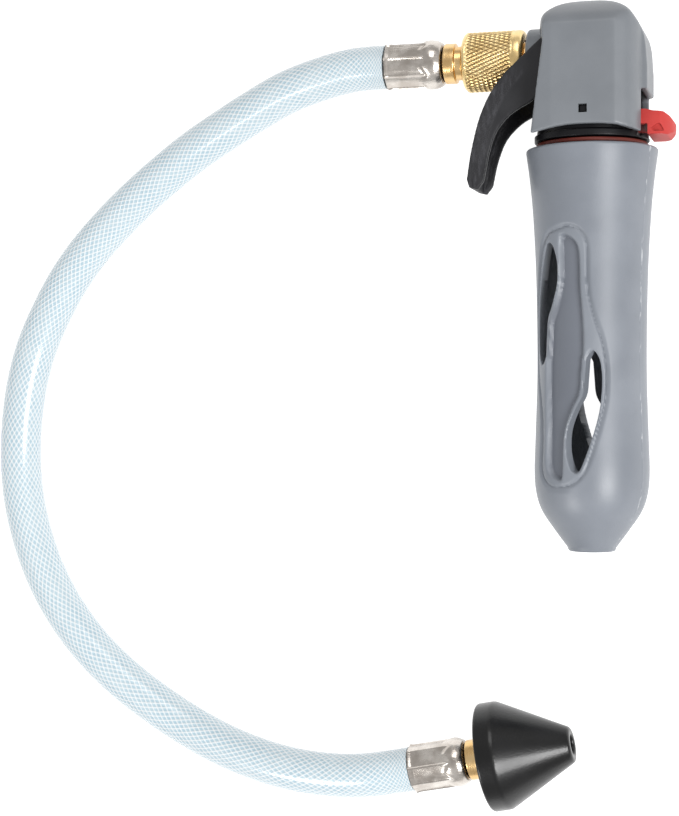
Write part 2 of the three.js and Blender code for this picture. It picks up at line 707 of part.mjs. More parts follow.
// The route follows the gun's fittings, and its heights follow the gun's, the cone's and the hose's.
function routed([x, y, z], index) {
  const [first, last] = [HOSE_ROUTE[0], HOSE_ROUTE.at(-1)];
  const lowest = Math.min(...HOSE_ROUTE.map((point) => point[2]));
  const [drawn, height] = index < HOSE_ROUTE.length / 2 ? [first[2], REST_HEIGHT] : [last[2], CONE_RADIUS];
  const share = (z - lowest) / (drawn - lowest);
  return new THREE.Vector3(x - first[0] + GUN_MOUTH - GAP, y, HOSE_LYING + share * (height - HOSE_LYING));
}

const hosePoints = HOSE_ROUTE.map(routed);
const hosePath = new THREE.CatmullRomCurve3(hosePoints);
const hose = new THREE.ExtrudeGeometry(hoseSection(), {
  extrudePath: hosePath,
  steps: HOSE_STEPS,
  bevelEnabled: false,
});
add(root, 'hose', hose, CLEAR_BLUE);

// ---- Drain end ------------------------------------------------------------------------------

drainEnd.position.copy(hosePoints.at(-1));
drainEnd.rotation.z = THREE.MathUtils.degToRad(CONE_TURN);

const coneBase = collarEnd + 1.9;
const stubRadius = TAIL_RADIUS + 0.3;
const coneTail = hoseTail([
  [COLLAR_RADIUS - 0.9, collarEnd],
  [COLLAR_RADIUS - 0.9, coneBase - GAP],
  [stubRadius, coneBase - GAP],
  [stubRadius, coneBase + CONE_STUB_LENGTH],
]);
add(drainEnd, 'cone_hose_tail', coneTail, BRASS);
add(drainEnd, 'cone_ferrule', ferrule(), NICKEL);

const cone = turnedAlongX([
  [stubRadius + GAP, coneBase],
  [CONE_RADIUS - 0.6, coneBase],
  [CONE_RADIUS, coneBase + 0.6],
  [CONE_RADIUS, coneBase + CONE_LAND],
  [CONE_TIP_RADIUS + 0.3, coneBase + CONE_LENGTH - 0.6],
  [CONE_TIP_RADIUS - 0.4, coneBase + CONE_LENGTH],
  [CONE_BORE, coneBase + CONE_LENGTH],
  [CONE_BORE, coneBase + CONE_STUB_LENGTH + 0.5],
  [stubRadius + GAP, coneBase + CONE_STUB_LENGTH + 0.5],
], ROUND);
add(drainEnd, 'rubber_cone', cone, RUBBER);

// ---- Trigger --------------------------------------------------------------------------------

// Side view: a hooked finger lever whose arm rises into the head and over the valve stem.
function triggerSide() {
  const armTop = STEM_TOP + GAP + ARM_THICKNESS;
  const outer = curve([
    [-12.4, 4.2],
    [-17.9, -0.8],
    [-24.3, -7.1],
    [-29.3, -15.9],
    [-32.4, -26],
    [-33.7, -33.5],
  ], 16);
  const inner = curve([
    [-28.9, -34.2],
    [-27.2, -26.4],
    [-25, -20.8],
    [-20.9, -16.4],
    [-15.4, -13.3],
  ], 10);
  return [
    [-7.4, 8.2],
    [-10.3, 5.2],
    ...outer,
    [-33, -35.8],
    [-30.6, -36.4],
    ...inner,
    [-4, -5.5],
    [2.5, 2],
    ...arc([PIVOT_X, PIVOT_Y], HUB_RADIUS, -90, 60, 10),
    [4, armTop],
    [-5, armTop],
  ];
}

// A long plate seen from the front, from one half of its [z, y] outline.
function frontPlate(half) {
  const other = half.map(([z, y]) => [-z, y]).reverse();
  return plate([...half, ...other], FAR).rotateY(Math.PI / 2);
}

// Front view: wide enough above to straddle the nut, narrower at the finger.
function triggerFront() {
  return frontPlate([
    [TRIGGER_HALF, 20],
    [TRIGGER_HALF, TRIGGER_TAPER_Y],
    [TRIGGER_TIP_HALF + 0.5, -29],
    [TRIGGER_TIP_HALF, -40],
  ]);
}

function trigger() {
  const underFinger = [
    [-33.6 + TRIGGER_SHELL, -34.5],
    [-32 + TRIGGER_SHELL, -26],
    [-28.9 + TRIGGER_SHELL, -16.6],
    [-25.8 + TRIGGER_SHELL, -11.4],
    [-24.9 + TRIGGER_SHELL, -NUT_RADIUS - 1.5],
  ];
  const armBottom = STEM_TOP + GAP;
  const hollow = plate([
    ...underFinger,
    [-FAR, -NUT_RADIUS - 1.5],
    [-FAR, FAR],
    [-7.3, FAR],
    [-7.3, armBottom],
    [30, armBottom],
    [30, -FAR],
    [-33.6 + TRIGGER_SHELL, -FAR],
  ], FAR);
  const between = frontPlate([
    [TRIGGER_INNER_HALF, FAR],
    [TRIGGER_INNER_HALF, TRIGGER_TAPER_Y],
    [TRIGGER_TIP_HALF + 0.5 - TRIGGER_WALL, -29],
    [TRIGGER_TIP_HALF - 0.6 - TRIGGER_WALL, -FAR],
  ]);
  return cut(
    common(plate(triggerSide(), TRIGGER_HALF), triggerFront(), headFront(HEAD_WALL + 0.2)),
    common(hollow, between),
    rodAlongZ(PIN_RADIUS + GAP, FAR).translate(PIVOT_X, PIVOT_Y, 0),
  );
}

const triggerPin = rodAlongZ(PIN_RADIUS, EAR_OUTER_HALF).translate(PIVOT_X, PIVOT_Y, 0);
add(gun, 'trigger', trigger(), TRIGGER_BLACK);
add(gun, 'trigger_pin', triggerPin, STEEL);

// ---- Safety clip ----------------------------------------------------------------------------

// A forked plate slides round the column on top of the flange; its thumb pad stands out of the
// notch at the back.
function safetyClip() {
  const padBack = FLANGE_RADIUS + GAP;
  const plateTop = FLANGE_TOP + GAP + CLIP_PLATE;
  const side = [
    [HEAD_BACK - 2.6, plateTop],
    [HEAD_BACK - 2.6, FLANGE_TOP + GAP],
    [padBack, FLANGE_TOP + GAP],
    [padBack, FLANGE_TOP - CLIP_DROP],
    [HEAD_BACK + CLIP_REACH - 1.8, FLANGE_TOP - CLIP_DROP],
    [HEAD_BACK + CLIP_REACH - 0.4, FLANGE_TOP - 1.6],
    [HEAD_BACK + CLIP_REACH, FLANGE_TOP - 0.4],
    [HEAD_BACK + CLIP_REACH - 0.1, FLANGE_TOP + 1],
    [HEAD_BACK + CLIP_REACH - 1.2, FLANGE_TOP + 2.5],
    [HEAD_BACK + CLIP_REACH - 2.7, FLANGE_TOP + 3.5],
    [HEAD_BACK + 1.4, FLANGE_TOP + 3.8],
    [HEAD_BACK - 0.4, FLANGE_TOP + 4.3],
    [HEAD_BACK - 2.6, FLANGE_TOP + 4.4],
  ];
  const bowRadius = (CLIP_HALF_WIDTH ** 2 + CLIP_BOW ** 2) / (2 * CLIP_BOW);
  const bowSpread = THREE.MathUtils.radToDeg(Math.asin(CLIP_HALF_WIDTH / bowRadius));
  const bow = arc([HEAD_BACK + CLIP_REACH - bowRadius, 0], bowRadius, -bowSpread, bowSpread, 12);
  const plan = plate([[0, -CLIP_HALF_WIDTH], ...bow, [0, CLIP_HALF_WIDTH]], FAR).rotateX(Math.PI / 2);
  const pad = common(plate(side, CLIP_HALF_WIDTH), plan);
  const prongOutside = NOTCH_HALF_WIDTH - GAP;
  const prongInside = COLUMN_RADIUS + 0.5;
  const prongs = plate([
    [2, prongInside],
    [HEAD_BACK - 2, prongInside],
    [HEAD_BACK - 2, prongOutside],
    [2, prongOutside],
  ], CLIP_PLATE / 2);
  const level = FLANGE_TOP + GAP + CLIP_PLATE / 2;
  const [near, other] = [1, -1].map((side) => {
    const prong = prongs.clone().scale(1, side, 1);
    return prong.rotateX(Math.PI / 2).translate(0, level, 0);
  });
  const bridge = block(
    [COLUMN_RADIUS + CLIP_TRAVEL + 0.6, HEAD_BACK - 1.6],
    [FLANGE_TOP + GAP, plateTop],
    [-CLIP_HALF_WIDTH, CLIP_HALF_WIDTH],
  );
  const clearance = rod(prongInside, -FAR, FAR, ROUND);
  const swept = join(clearance, clearance.clone().translate(CLIP_TRAVEL, 0, 0));
  return cut(join(pad, near, other, bridge), swept);
}

add(gun, 'safety_clip', safetyClip(), CLIP_RED);

export default root;
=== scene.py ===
# %% [markdown]
# # A cartridge drain gun
#
# The gun is a moulded grey head on a hollow grey grip, with a black trigger, a red safety clip,
# a knurled brass nut, a clear braided hose and a black rubber cone. It lies on its side on a
# white table. The imported frame already fixes every size and every joint. This lesson makes the
# surfaces: soft moulded edges, a real knurl, crimped ferrules and a braid inside a clear wall.

# %% The frame, and the box round each of its parts
from math import asin, atan2, cos, degrees, pi, radians, sin, sqrt, tau

import bmesh
import bpy
import numpy as np
from mathutils import Matrix, Vector


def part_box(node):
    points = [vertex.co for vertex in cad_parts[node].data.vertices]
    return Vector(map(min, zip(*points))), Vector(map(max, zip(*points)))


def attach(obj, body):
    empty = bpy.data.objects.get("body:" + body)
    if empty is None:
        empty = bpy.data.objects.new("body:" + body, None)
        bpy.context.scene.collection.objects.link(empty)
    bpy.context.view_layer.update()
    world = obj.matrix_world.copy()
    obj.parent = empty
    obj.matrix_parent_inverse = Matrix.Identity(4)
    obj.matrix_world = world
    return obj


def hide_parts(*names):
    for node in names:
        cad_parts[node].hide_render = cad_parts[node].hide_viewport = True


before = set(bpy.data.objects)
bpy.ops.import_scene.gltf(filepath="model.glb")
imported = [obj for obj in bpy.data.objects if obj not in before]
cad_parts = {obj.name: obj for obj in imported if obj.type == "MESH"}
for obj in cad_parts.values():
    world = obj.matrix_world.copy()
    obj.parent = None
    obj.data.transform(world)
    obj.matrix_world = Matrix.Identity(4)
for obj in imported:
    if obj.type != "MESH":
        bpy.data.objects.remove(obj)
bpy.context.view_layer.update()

# %% [markdown]
# Lengths below are in millimetres, which suit a hand tool, and become metres when a mesh is
# finished. The gun's own axes come from the frame: the grip and the outlet both lie at the
# height of the grip's middle.

# %% Places read from the frame
MM = 0.001


def span(node):
    """Lowest and highest corner of a CAD node, in millimetres."""
    low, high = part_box(node)
    return low / MM, high / MM


grip_low, grip_high = span("handle")
AXIS = (grip_low.z + grip_high.z) / 2
RIM_RADIUS = (grip_high.x - grip_low.x) / 2
RIM_Y = grip_high.y
END_Y = grip_low.y
GRIP_LENGTH = RIM_Y - END_Y
GAP = 0.3
print("axis height", round(AXIS, 2), "grip length", round(GRIP_LENGTH, 1))

# %% [markdown]
# ## Camera, light and table
#
# The camera looks almost straight down with a long lens, tilted so that a little of the gun's
# back shows. Three soft boxes stand to the right, the lower left and beyond the head, and the
# surround is bright. The table glows a little, so that it comes out white and hardly any shadow
# shows. The plain view transform shows each colour as it is, without a film curve.

# %% Camera
CAMERA_PLACE = Vector((0.0697, -0.0967, 0.5130))
CAMERA_TILT = 16.0
LENS = 79.4

camera_data = bpy.data.cameras.new("camera")
camera_data.lens = LENS
camera_data.clip_end = 10
camera = bpy.data.objects.new("camera", camera_data)
camera.location = CAMERA_PLACE
camera.rotation_euler = (0, radians(CAMERA_TILT), 0)
bpy.context.scene.collection.objects.link(camera)
bpy.context.scene.camera = camera
bpy.context.scene.view_settings.view_transform = "Standard"


# %% Lights and the surround
def soft_box(name, place, aim, size, power):
    """A square lamp that faces a point."""
    data = bpy.data.lights.new(name, "AREA")
    data.size = size
    data.energy = power
    lamp = bpy.data.objects.new(name, data)
    lamp.location = place
    lamp.rotation_euler = (Vector(aim) - Vector(place)).to_track_quat("-Z", "Y").to_euler()
    bpy.context.scene.collection.objects.link(lamp)
    return lamp


MIDDLE = (-0.07, -0.09, 0.0)
soft_box("right", (0.55, -0.30, 0.70), MIDDLE, 0.35, 8.0)
soft_box("left", (-0.45, -0.62, 0.60), MIDDLE, 0.25, 3.2)
soft_box("top", (0.10, 0.62, 0.70), MIDDLE, 0.5, 2.5)

world = bpy.data.worlds.new("surround")
world.use_nodes = True
world.node_tree.nodes["Background"].inputs["Color"].default_value = (1, 1, 1, 1)
world.node_tree.nodes["Background"].inputs["Strength"].default_value = 0.62
bpy.context.scene.world = world


# %% [markdown]
# ## Sums in a material, written as Python
#
# A material is a graph of nodes. Written call by call it is hard to read, so a `Signal` wraps
# one output and lets sums be written with the usual signs. A `Finish` is a material under
# construction: its `add` method makes any node, sets its options, then fills its sockets.


# %% Signal and Finish
class Signal:
    """A number that flows through a material."""

    def __init__(self, finish, socket):
        self.finish = finish
        self.socket = socket

    def maths(self, operation, *others):
        inputs = dict(enumerate((self, *others)))
        return self.finish.add("ShaderNodeMath", inputs, operation=operation)

    def __add__(self, other):
        return self.maths("ADD", other)

    def __sub__(self, other):
        return self.maths("SUBTRACT", other)

    def __mul__(self, other):
        return self.maths("MULTIPLY", other)

    def __truediv__(self, other):
        return self.maths("DIVIDE", other)

    def __rsub__(self, other):
        return (self * -1) + other

    __radd__ = __add__
    __rmul__ = __mul__

    def absolute(self):
        return self.maths("ABSOLUTE")

    def wave(self):
        """The sine of the signal, lifted to run from 0 to 1."""
        return self.maths("SINE") * 0.5 + 0.5

    def step(self, low, high):
        """0 below low, 1 above high, and smooth between them."""
        return self.finish.add(
            "ShaderNodeMapRange",
            {"Value": self, "From Min": low, "From Max": high},
            interpolation_type="SMOOTHSTEP",
            clamp=True,
        )


def linear(red, green, blue):
    """A screen colour of 0 to 255 as the linear colour that shaders use."""
    def one(value):
        share = value / 255
        return share / 12.92 if share <= 0.04045 else ((share + 0.055) / 1.055) ** 2.4
    return (one(red), one(green), one(blue), 1)


LAMP_GAIN = 1.55  # how much brighter than its own colour a matt surface comes out
SHEEN = 0.035  # what the gloss of a satin surface adds


def seen(red, green, blue, sheen=SHEEN):
    """The surface colour that looks like a screen colour under this scene's lamps."""
    wanted = linear(red, green, blue)[:3]
    return (*(max(value - sheen, 0.001) / LAMP_GAIN for value in wanted), 1)


class Finish:
    """A material with one shiny shader, to which a recipe adds its nodes."""

    def __init__(self, name, roughness=0.5, metallic=0.0, **fixed):
        self.material = bpy.data.materials.new(name)
        self.material.use_nodes = True
        self.tree = self.material.node_tree
        self.tree.nodes.clear()
        self.shader = self.tree.nodes.new("ShaderNodeBsdfPrincipled")
        self.output = self.tree.nodes.new("ShaderNodeOutputMaterial")
        self.tree.links.new(self.shader.outputs[0], self.output.inputs["Surface"])
        self.set(roughness=roughness, metallic=metallic, **fixed)
        self.place = self.add("ShaderNodeTexCoord", {}, output="Object")

    def add(self, kind, inputs, output=0, stops=None, **options):
        node = self.tree.nodes.new(kind)
        for option, value in options.items():
            setattr(node, option, value)
        if stops:
            ramp = node.color_ramp
            while len(ramp.elements) < len(stops):
                ramp.elements.new(1)
            for element, (position, colour) in zip(ramp.elements, stops):
                element.position = position
                element.color = colour
        for key, value in inputs.items():
            self.fill(node.inputs[key], value)
        return Signal(self, node.outputs[output])

    def fill(self, socket, value):
        if isinstance(value, Signal):
            self.tree.links.new(value.socket, socket)
        else:
            socket.default_value = value

    def set(self, **values):
        """Sets the shader's sockets: base_color is the socket Base Color, and so on."""
        for key, value in values.items():
            self.fill(self.shader.inputs[key.replace("_", " ").title().replace("Ior", "IOR")], value)

    def noise(self, scale, detail=3.0, place=None):
        inputs = {"Vector": place or self.place, "Scale": scale, "Detail": detail}
        return self.add("ShaderNodeTexNoise", inputs, output="Fac")

    def mix(self, share, first, second):
        inputs = {"Factor": share, 6: first, 7: second}
        return self.add("ShaderNodeMix", inputs, output=2, data_type="RGBA")

    def stretched(self, x, y, z):
        """Object coordinates scaled along each axis, for streaks and grain."""
        return self.add("ShaderNodeMapping", {"Vector": self.place, "Scale": (x, y, z)})

    def parts(self, vector=None):
        """The three coordinates of a place, one signal each."""
        node = self.tree.nodes.new("ShaderNodeSeparateXYZ")
        self.fill(node.inputs[0], vector or self.place)
        return [Signal(self, output) for output in node.outputs]

    def bump(self, height, distance, strength=1.0):
        """Relief of a given depth in metres, under the shader's light."""
        inputs = {"Height": height, "Distance": distance, "Strength": strength}
        self.set(normal=self.add("ShaderNodeBump", inputs))


# %% [markdown]
# ## Moulded plastics
#
# Injection-moulded nylon has a faint grain from the spark-eroded mould, cloudy patches where it
# cooled unevenly, and a satin sheen. One recipe makes the greys, the blacks and the red, each
# with its own colours. The grip also has pale flecks of flash along its parting lines.

# %% Plastics
def moulded(name, dark, light, roughness, grain=0.5, sheen=SHEEN, **fixed):
    """Satin plastic that looks between two screen colours, clouded, with a fine grain."""
    finish = Finish(name, **fixed)
    cloud = finish.noise(60, 4).step(0.3, 0.7)
    fine = finish.noise(2600, 2)
    scuff = finish.noise(420, 5).step(0.55, 0.8)
    finish.set(base_color=finish.mix(cloud, seen(*dark, sheen), seen(*light, sheen)))
    finish.set(roughness=cloud * 0.05 + fine * 0.06 + scuff * 0.05 + (roughness - 0.08))
    finish.bump(fine * 0.7 + scuff * 0.3, 0.00006 * grain)
    return finish


DULL = {"sheen": 0.015, "specular_ior_level": 0.22}
head_plastic = moulded("head_plastic", (129, 133, 138), (137, 141, 146), 0.46)
black_plastic = moulded("black_plastic", (33, 33, 35), (40, 40, 42), 0.42, **DULL)
clip_plastic = moulded("clip_plastic", (205, 74, 71), (222, 92, 88), 0.5, 0.4, sheen=0.01, specular_ior_level=0.08)
cream_plastic = moulded("cream_plastic", (214, 208, 190), (224, 219, 203), 0.45)


def grip_finish():
    """The grip's grey, with painted shade darkening the sunk panels, and pale flash where the mould closed."""
    finish = moulded("grip_plastic", (139, 144, 152), (148, 153, 161), 0.44)
    x, y, z = finish.parts()
    angle = x.maths("ARCTAN2", z - AXIS * MM)
    lines = []
    for side in (PARTING_LINE, PARTING_LINE - 180):
        lines.append(1 - (angle - radians(side)).absolute().step(0.012, 0.040))
    broken = finish.noise(1100, 4, finish.stretched(1, 0.3, 1)).step(0.5, 0.62)
    stretches = finish.noise(75, 1).step(0.38, 0.56)
    flash = (lines[0] + lines[1]) * broken * stretches
    # Painted shade: the sunk panels are mixed towards a darker grey, standing in for the shade in the recess.
    panel_shade_share = finish.add("ShaderNodeAttribute", {}, output="Fac", attribute_name="sunk")
    plain = Signal(finish, finish.shader.inputs["Base Color"].links[0].from_socket)
    shaded = finish.mix(panel_shade_share * 0.75, plain, seen(119, 123, 132))
    finish.set(base_color=finish.mix(flash * 0.7, shaded, seen(214, 217, 221)))
    return finish


PATTERN_TURN = -25.0
PARTING_LINE = PATTERN_TURN + 93
grip_plastic = grip_finish()


def trigger_finish():
    """Black nylon, smooth on the flanks and pebbled on the band that a finger pulls."""
    finish = Finish("trigger_plastic", specular_ior_level=0.25)
    band = finish.add("ShaderNodeAttribute", {}, output="Fac", attribute_name="band")
    pebble = finish.add(
        "ShaderNodeTexVoronoi", {"Vector": finish.place, "Scale": 2300, "Randomness": 1.0}, output="Distance"
    )
    streak = finish.noise(900, 4, finish.stretched(1, 0.25, 1)).step(0.4, 0.75)
    cloud = finish.noise(130, 3).step(0.3, 0.7)
    worn = band * streak
    plain = finish.mix(cloud, seen(56, 56, 58, 0.018), seen(62, 62, 64, 0.018))
    finish.set(base_color=finish.mix(worn * 0.75, plain, seen(84, 84, 88, 0.018)))
    finish.set(roughness=band * 0.10 + cloud * 0.05 + 0.43)
    finish.bump(pebble * band + finish.noise(2400, 2) * 0.25, 0.00011)
    return finish


trigger_plastic = trigger_finish()

# %% [markdown]
# ## Rubber
#
# The cone is a hard, slightly glossy moulded rubber; the washers and rings are duller.


# %% Rubbers
def rubber(name, dark, light, roughness, coat=0.0):
    finish = Finish(name, specular_ior_level=0.3, coat_weight=coat, coat_roughness=0.16)
    cloud = finish.noise(90, 4).step(0.3, 0.7)
    speck = finish.noise(1900, 3)
    finish.set(base_color=finish.mix(cloud, seen(*dark, 0.012), seen(*light, 0.012)))
    finish.set(roughness=cloud * 0.08 + speck * 0.08 + (roughness - 0.08))
    finish.bump(speck, 0.00005)
    return finish


cone_rubber = rubber("cone_rubber", (22, 22, 24), (29, 29, 31), 0.34, coat=0.2)
ring_rubber = rubber("ring_rubber", (30, 30, 31), (38, 38, 39), 0.6)
seal_rubber = rubber("seal_rubber", (112, 50, 44), (132, 66, 57), 0.5)

# %% [markdown]
# ## Metals
#
# Turned brass keeps fine rings from the lathe; on the knurled nut, shade is painted dark brown into the grooves. The
# nickel of the ferrules is drawn along its length, with milky patches where the press gripped.


# %% Metals
def metal(name, dark, light, roughness, streaks, along):
    """Bright metal with tool marks, which run across the stretched direction."""
    finish = Finish(name, metallic=1.0)
    cloud = finish.noise(220, 5).step(0.32, 0.72)
    marks = finish.noise(900, 3, finish.stretched(*along))
    finish.set(base_color=finish.mix(cloud, linear(*dark), linear(*light)))
    finish.set(roughness=marks * 0.16 + cloud * 0.08 + (roughness - 0.1))
    finish.bump(marks, streaks)
    return finish


turned_brass = metal("turned_brass", (212, 174, 118), (230, 198, 146), 0.27, 0.00003, (3.0, 0.15, 0.15))
knurled_brass = metal("knurled_brass", (222, 192, 134), (238, 214, 160), 0.3, 0.00001, (1, 1, 1))
# Painted shade: the knurl's grooves are mixed towards a dark brown.
groove = knurled_brass.add("ShaderNodeAttribute", {}, output="Fac", attribute_name="groove")
crest = Signal(knurled_brass, knurled_brass.shader.inputs["Base Color"].links[0].from_socket)
knurled_brass.set(base_color=knurled_brass.mix(groove.step(0.35, 1.0) * 0.9, crest, linear(96, 62, 26)))
nickel_plate = metal("nickel_plate", (176, 168, 160), (212, 206, 199), 0.24, 0.00005, (0.2, 1.6, 1.6))
bright_steel = metal("bright_steel", (168, 168, 170), (200, 200, 203), 0.28, 0.00003, (1, 1, 1))


# %% [markdown]
# ## Tools for the meshes
#
# Turned pieces are a profile spun round an axis. Moulded shells are flat outlines drawn out to
# prisms, cut and joined like card, then remeshed finely and smoothed, because that rounds every
# corner by the same small radius, as a mould does.

# %% Outlines
def smooth_curve(points, steps):
    """Points on a smooth curve through the given ones, evenly shared between them."""
    control = np.array(points, float)
    ends = [2 * control[0] - control[1], *control, 2 * control[-1] - control[-2]]
    made = []
    for i in range(steps + 1):
        whole, share = divmod(i * (len(control) - 1) / steps, 1)
        k = min(int(whole), len(control) - 2)
        t = share if whole < len(control) - 1 else 1.0
        a, b, c, d = ends[k : k + 4]
        made.append(
            0.5 * (2 * b + (c - a) * t + (2 * a - 5 * b + 4 * c - d) * t**2 + (3 * b - a - 3 * c + d) * t**3)
        )
    return [tuple(point) for point in made]


def closed_curve(points, steps):
    """The same for a loop."""
    wrapped = [points[-1], *points, points[0], points[1]]
    full = smooth_curve(wrapped, steps * (len(wrapped) - 1))
    return full[steps:-steps * 2]


def arc(centre, radius, start, stop, steps=12):
    turns = [radians(start + (stop - start) * i / steps) for i in range(steps + 1)]
    return [(centre[0] + radius * cos(t), centre[1] + radius * sin(t)) for t in turns]


def eased(profile, radius, closed=True, steps=3):
    """The profile with each corner cut back to a small round."""
    made = []
    count = len(profile)
    for i, point in enumerate(profile):
        if not closed and i in (0, count - 1):
            made.append(point)
            continue
        here = Vector(point)
        before = Vector(profile[i - 1]) - here
        after = Vector(profile[(i + 1) % count]) - here
        reach = min(radius, before.length * 0.45, after.length * 0.45)
        start = here + before.normalized() * reach
        stop = here + after.normalized() * reach
        for k in range(steps + 1):
            t = k / steps
            made.append(tuple(start * (1 - t) ** 2 + here * 2 * t * (1 - t) + stop * t**2))
    return made


# %% Meshes
def show(name, bm, finish, body, node=None, sharp=40, weighted=True):
    """Turns a bmesh in millimetres into a finished piece, riding on a body."""
    bmesh.ops.remove_doubles(bm, verts=bm.verts, dist=1e-5)
    bmesh.ops.scale(bm, vec=(MM, MM, MM), verts=bm.verts)
    mesh = bpy.data.meshes.new(name)
    bm.to_mesh(mesh)
    bm.free()
    mesh.shade_smooth()
    mesh.set_sharp_from_angle(angle=radians(sharp))
    piece = bpy.data.objects.new(name, mesh)
    bpy.context.scene.collection.objects.link(piece)
    mesh.materials.append(finish.material)
    if weighted:
        even = piece.modifiers.new("even", "WEIGHTED_NORMAL")
        even.keep_sharp = True
    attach(piece, body)
    if node:
        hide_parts(*([node] if isinstance(node, str) else node))
    return piece


def spun(profile, steps=120, closed=True):
    """A bmesh turned round the Y axis from (radius, y) points."""
    bm = bmesh.new()
    verts = [bm.verts.new((radius, along, 0)) for radius, along in profile]
    pairs = list(zip(verts, verts[1:]))
    if closed:
        pairs.append((verts[-1], verts[0]))
    edges = [bm.edges.new(pair) for pair in pairs]
    bmesh.ops.spin(
        bm, geom=[*verts, *edges], cent=(0, 0, 0), axis=(0, 1, 0), angle=tau, steps=steps, use_merge=True
    )
    bmesh.ops.remove_doubles(bm, verts=bm.verts, dist=1e-5)
    bmesh.ops.recalc_face_normals(bm, faces=bm.faces)
    return bm


UP_Y = Matrix.Identity(4)
ALONG_X = Matrix.Rotation(-pi / 2, 4, "Z")


def placed(bm, turn=UP_Y, at=(0, 0, 0)):
    bmesh.ops.transform(bm, matrix=Matrix.Translation(at) @ turn, verts=bm.verts)
    return bm


def prism(outline, half, turn=None, at=(0, 0, 0)):
    """A flat XY outline drawn out to both sides, then turned and moved."""
    bm = bmesh.new()
    face = bm.faces.new([bm.verts.new((x, y, -half)) for x, y in outline])
    drawn = bmesh.ops.extrude_face_region(bm, geom=[face])
    top = [item for item in drawn["geom"] if isinstance(item, bmesh.types.BMVert)]
    bmesh.ops.translate(bm, vec=(0, 0, 2 * half), verts=top)
    bmesh.ops.recalc_face_normals(bm, faces=bm.faces)
    return placed(bm, turn or UP_Y, at)


def slab(x, y, z):
    """A box between two limits on each axis."""
    bm = bmesh.new()
    bmesh.ops.create_cube(bm, size=1)
    bmesh.ops.scale(bm, vec=(x[1] - x[0], y[1] - y[0], z[1] - z[0]), verts=bm.verts)
    return placed(bm, at=((x[0] + x[1]) / 2, (y[0] + y[1]) / 2, (z[0] + z[1]) / 2))


def bar(radius, start, stop, turn=UP_Y, at=(0, 0, 0), steps=64):
    """A plain round bar, for cutting, twisted so that its corners meet no other bar's."""
    bm = spun([(0, start), (radius, start), (radius, stop), (0, stop)], steps, closed=False)
    bmesh.ops.rotate(bm, cent=(0, 0, 0), matrix=Matrix.Rotation(0.0137 + radius * 0.37, 3, "Y"), verts=bm.verts)
    return placed(bm, turn, at)


def loose(bm):
    mesh = bpy.data.meshes.new("blank")
    bm.to_mesh(mesh)
    bm.free()
    piece = bpy.data.objects.new("blank", mesh)
    bpy.context.scene.collection.objects.link(piece)
    return piece


def baked(piece):
    """A bmesh of a scratch object with its modifiers applied, and the object thrown away."""
    graph = bpy.context.evaluated_depsgraph_get()
    bm = bmesh.new()
    bm.from_object(piece, graph)
    bpy.data.objects.remove(piece)
    return bm


def carved(bm, *tools):
    """Cuts, joins or trims a bmesh: each tool is (operation, bmesh)."""
    blank = loose(bm)
    cutters = []
    for operation, tool in tools:
        cutter = loose(tool)
        cutters.append(cutter)
        step = blank.modifiers.new(operation, "BOOLEAN")
        step.operation = operation
        step.solver = "EXACT"
        step.object = cutter
    made = baked(blank)
    for cutter in cutters:
        bpy.data.objects.remove(cutter)
    return made


def softened(bm, voxel, rounds=4, factor=0.5):
    """Remeshes a solid into an even skin and smooths it, which rounds every edge alike."""
    blank = loose(bm)
    skin = blank.modifiers.new("skin", "REMESH")
    skin.mode = "VOXEL"
    skin.voxel_size = voxel
    skin.adaptivity = 0.0
    ease = blank.modifiers.new("ease", "SMOOTH")
    ease.factor = factor
    ease.iterations = rounds
    return baked(blank)


def painted(piece, name, values):
    """Stores one number per point of a finished piece, for its material to read."""
    attribute = piece.data.attributes.new(name, "FLOAT", "POINT")
    attribute.data.foreach_set("value", np.asarray(values, np.float32))


def relaxed(bm, share, rounds):
    """Melts the creases of a mesh into curves, where share(places) is above 0."""
    bm.verts.index_update()
    places = np.array([vert.co for vert in bm.verts])
    ends = np.array([[vert.index for vert in edge.verts] for edge in bm.edges]).T
    count = len(places)
    degree = np.bincount(ends.ravel(), minlength=count)[:, None]
    weight = 0.5 * share(places)[:, None]
    for _ in range(rounds):
        sums = [
            np.bincount(ends[0], places[ends[1], axis], count) + np.bincount(ends[1], places[ends[0], axis], count)
            for axis in range(3)
        ]
        places += weight * (np.stack(sums, axis=1) / degree - places)
    for vert, place in zip(bm.verts, places):
        vert.co = place
    return bm
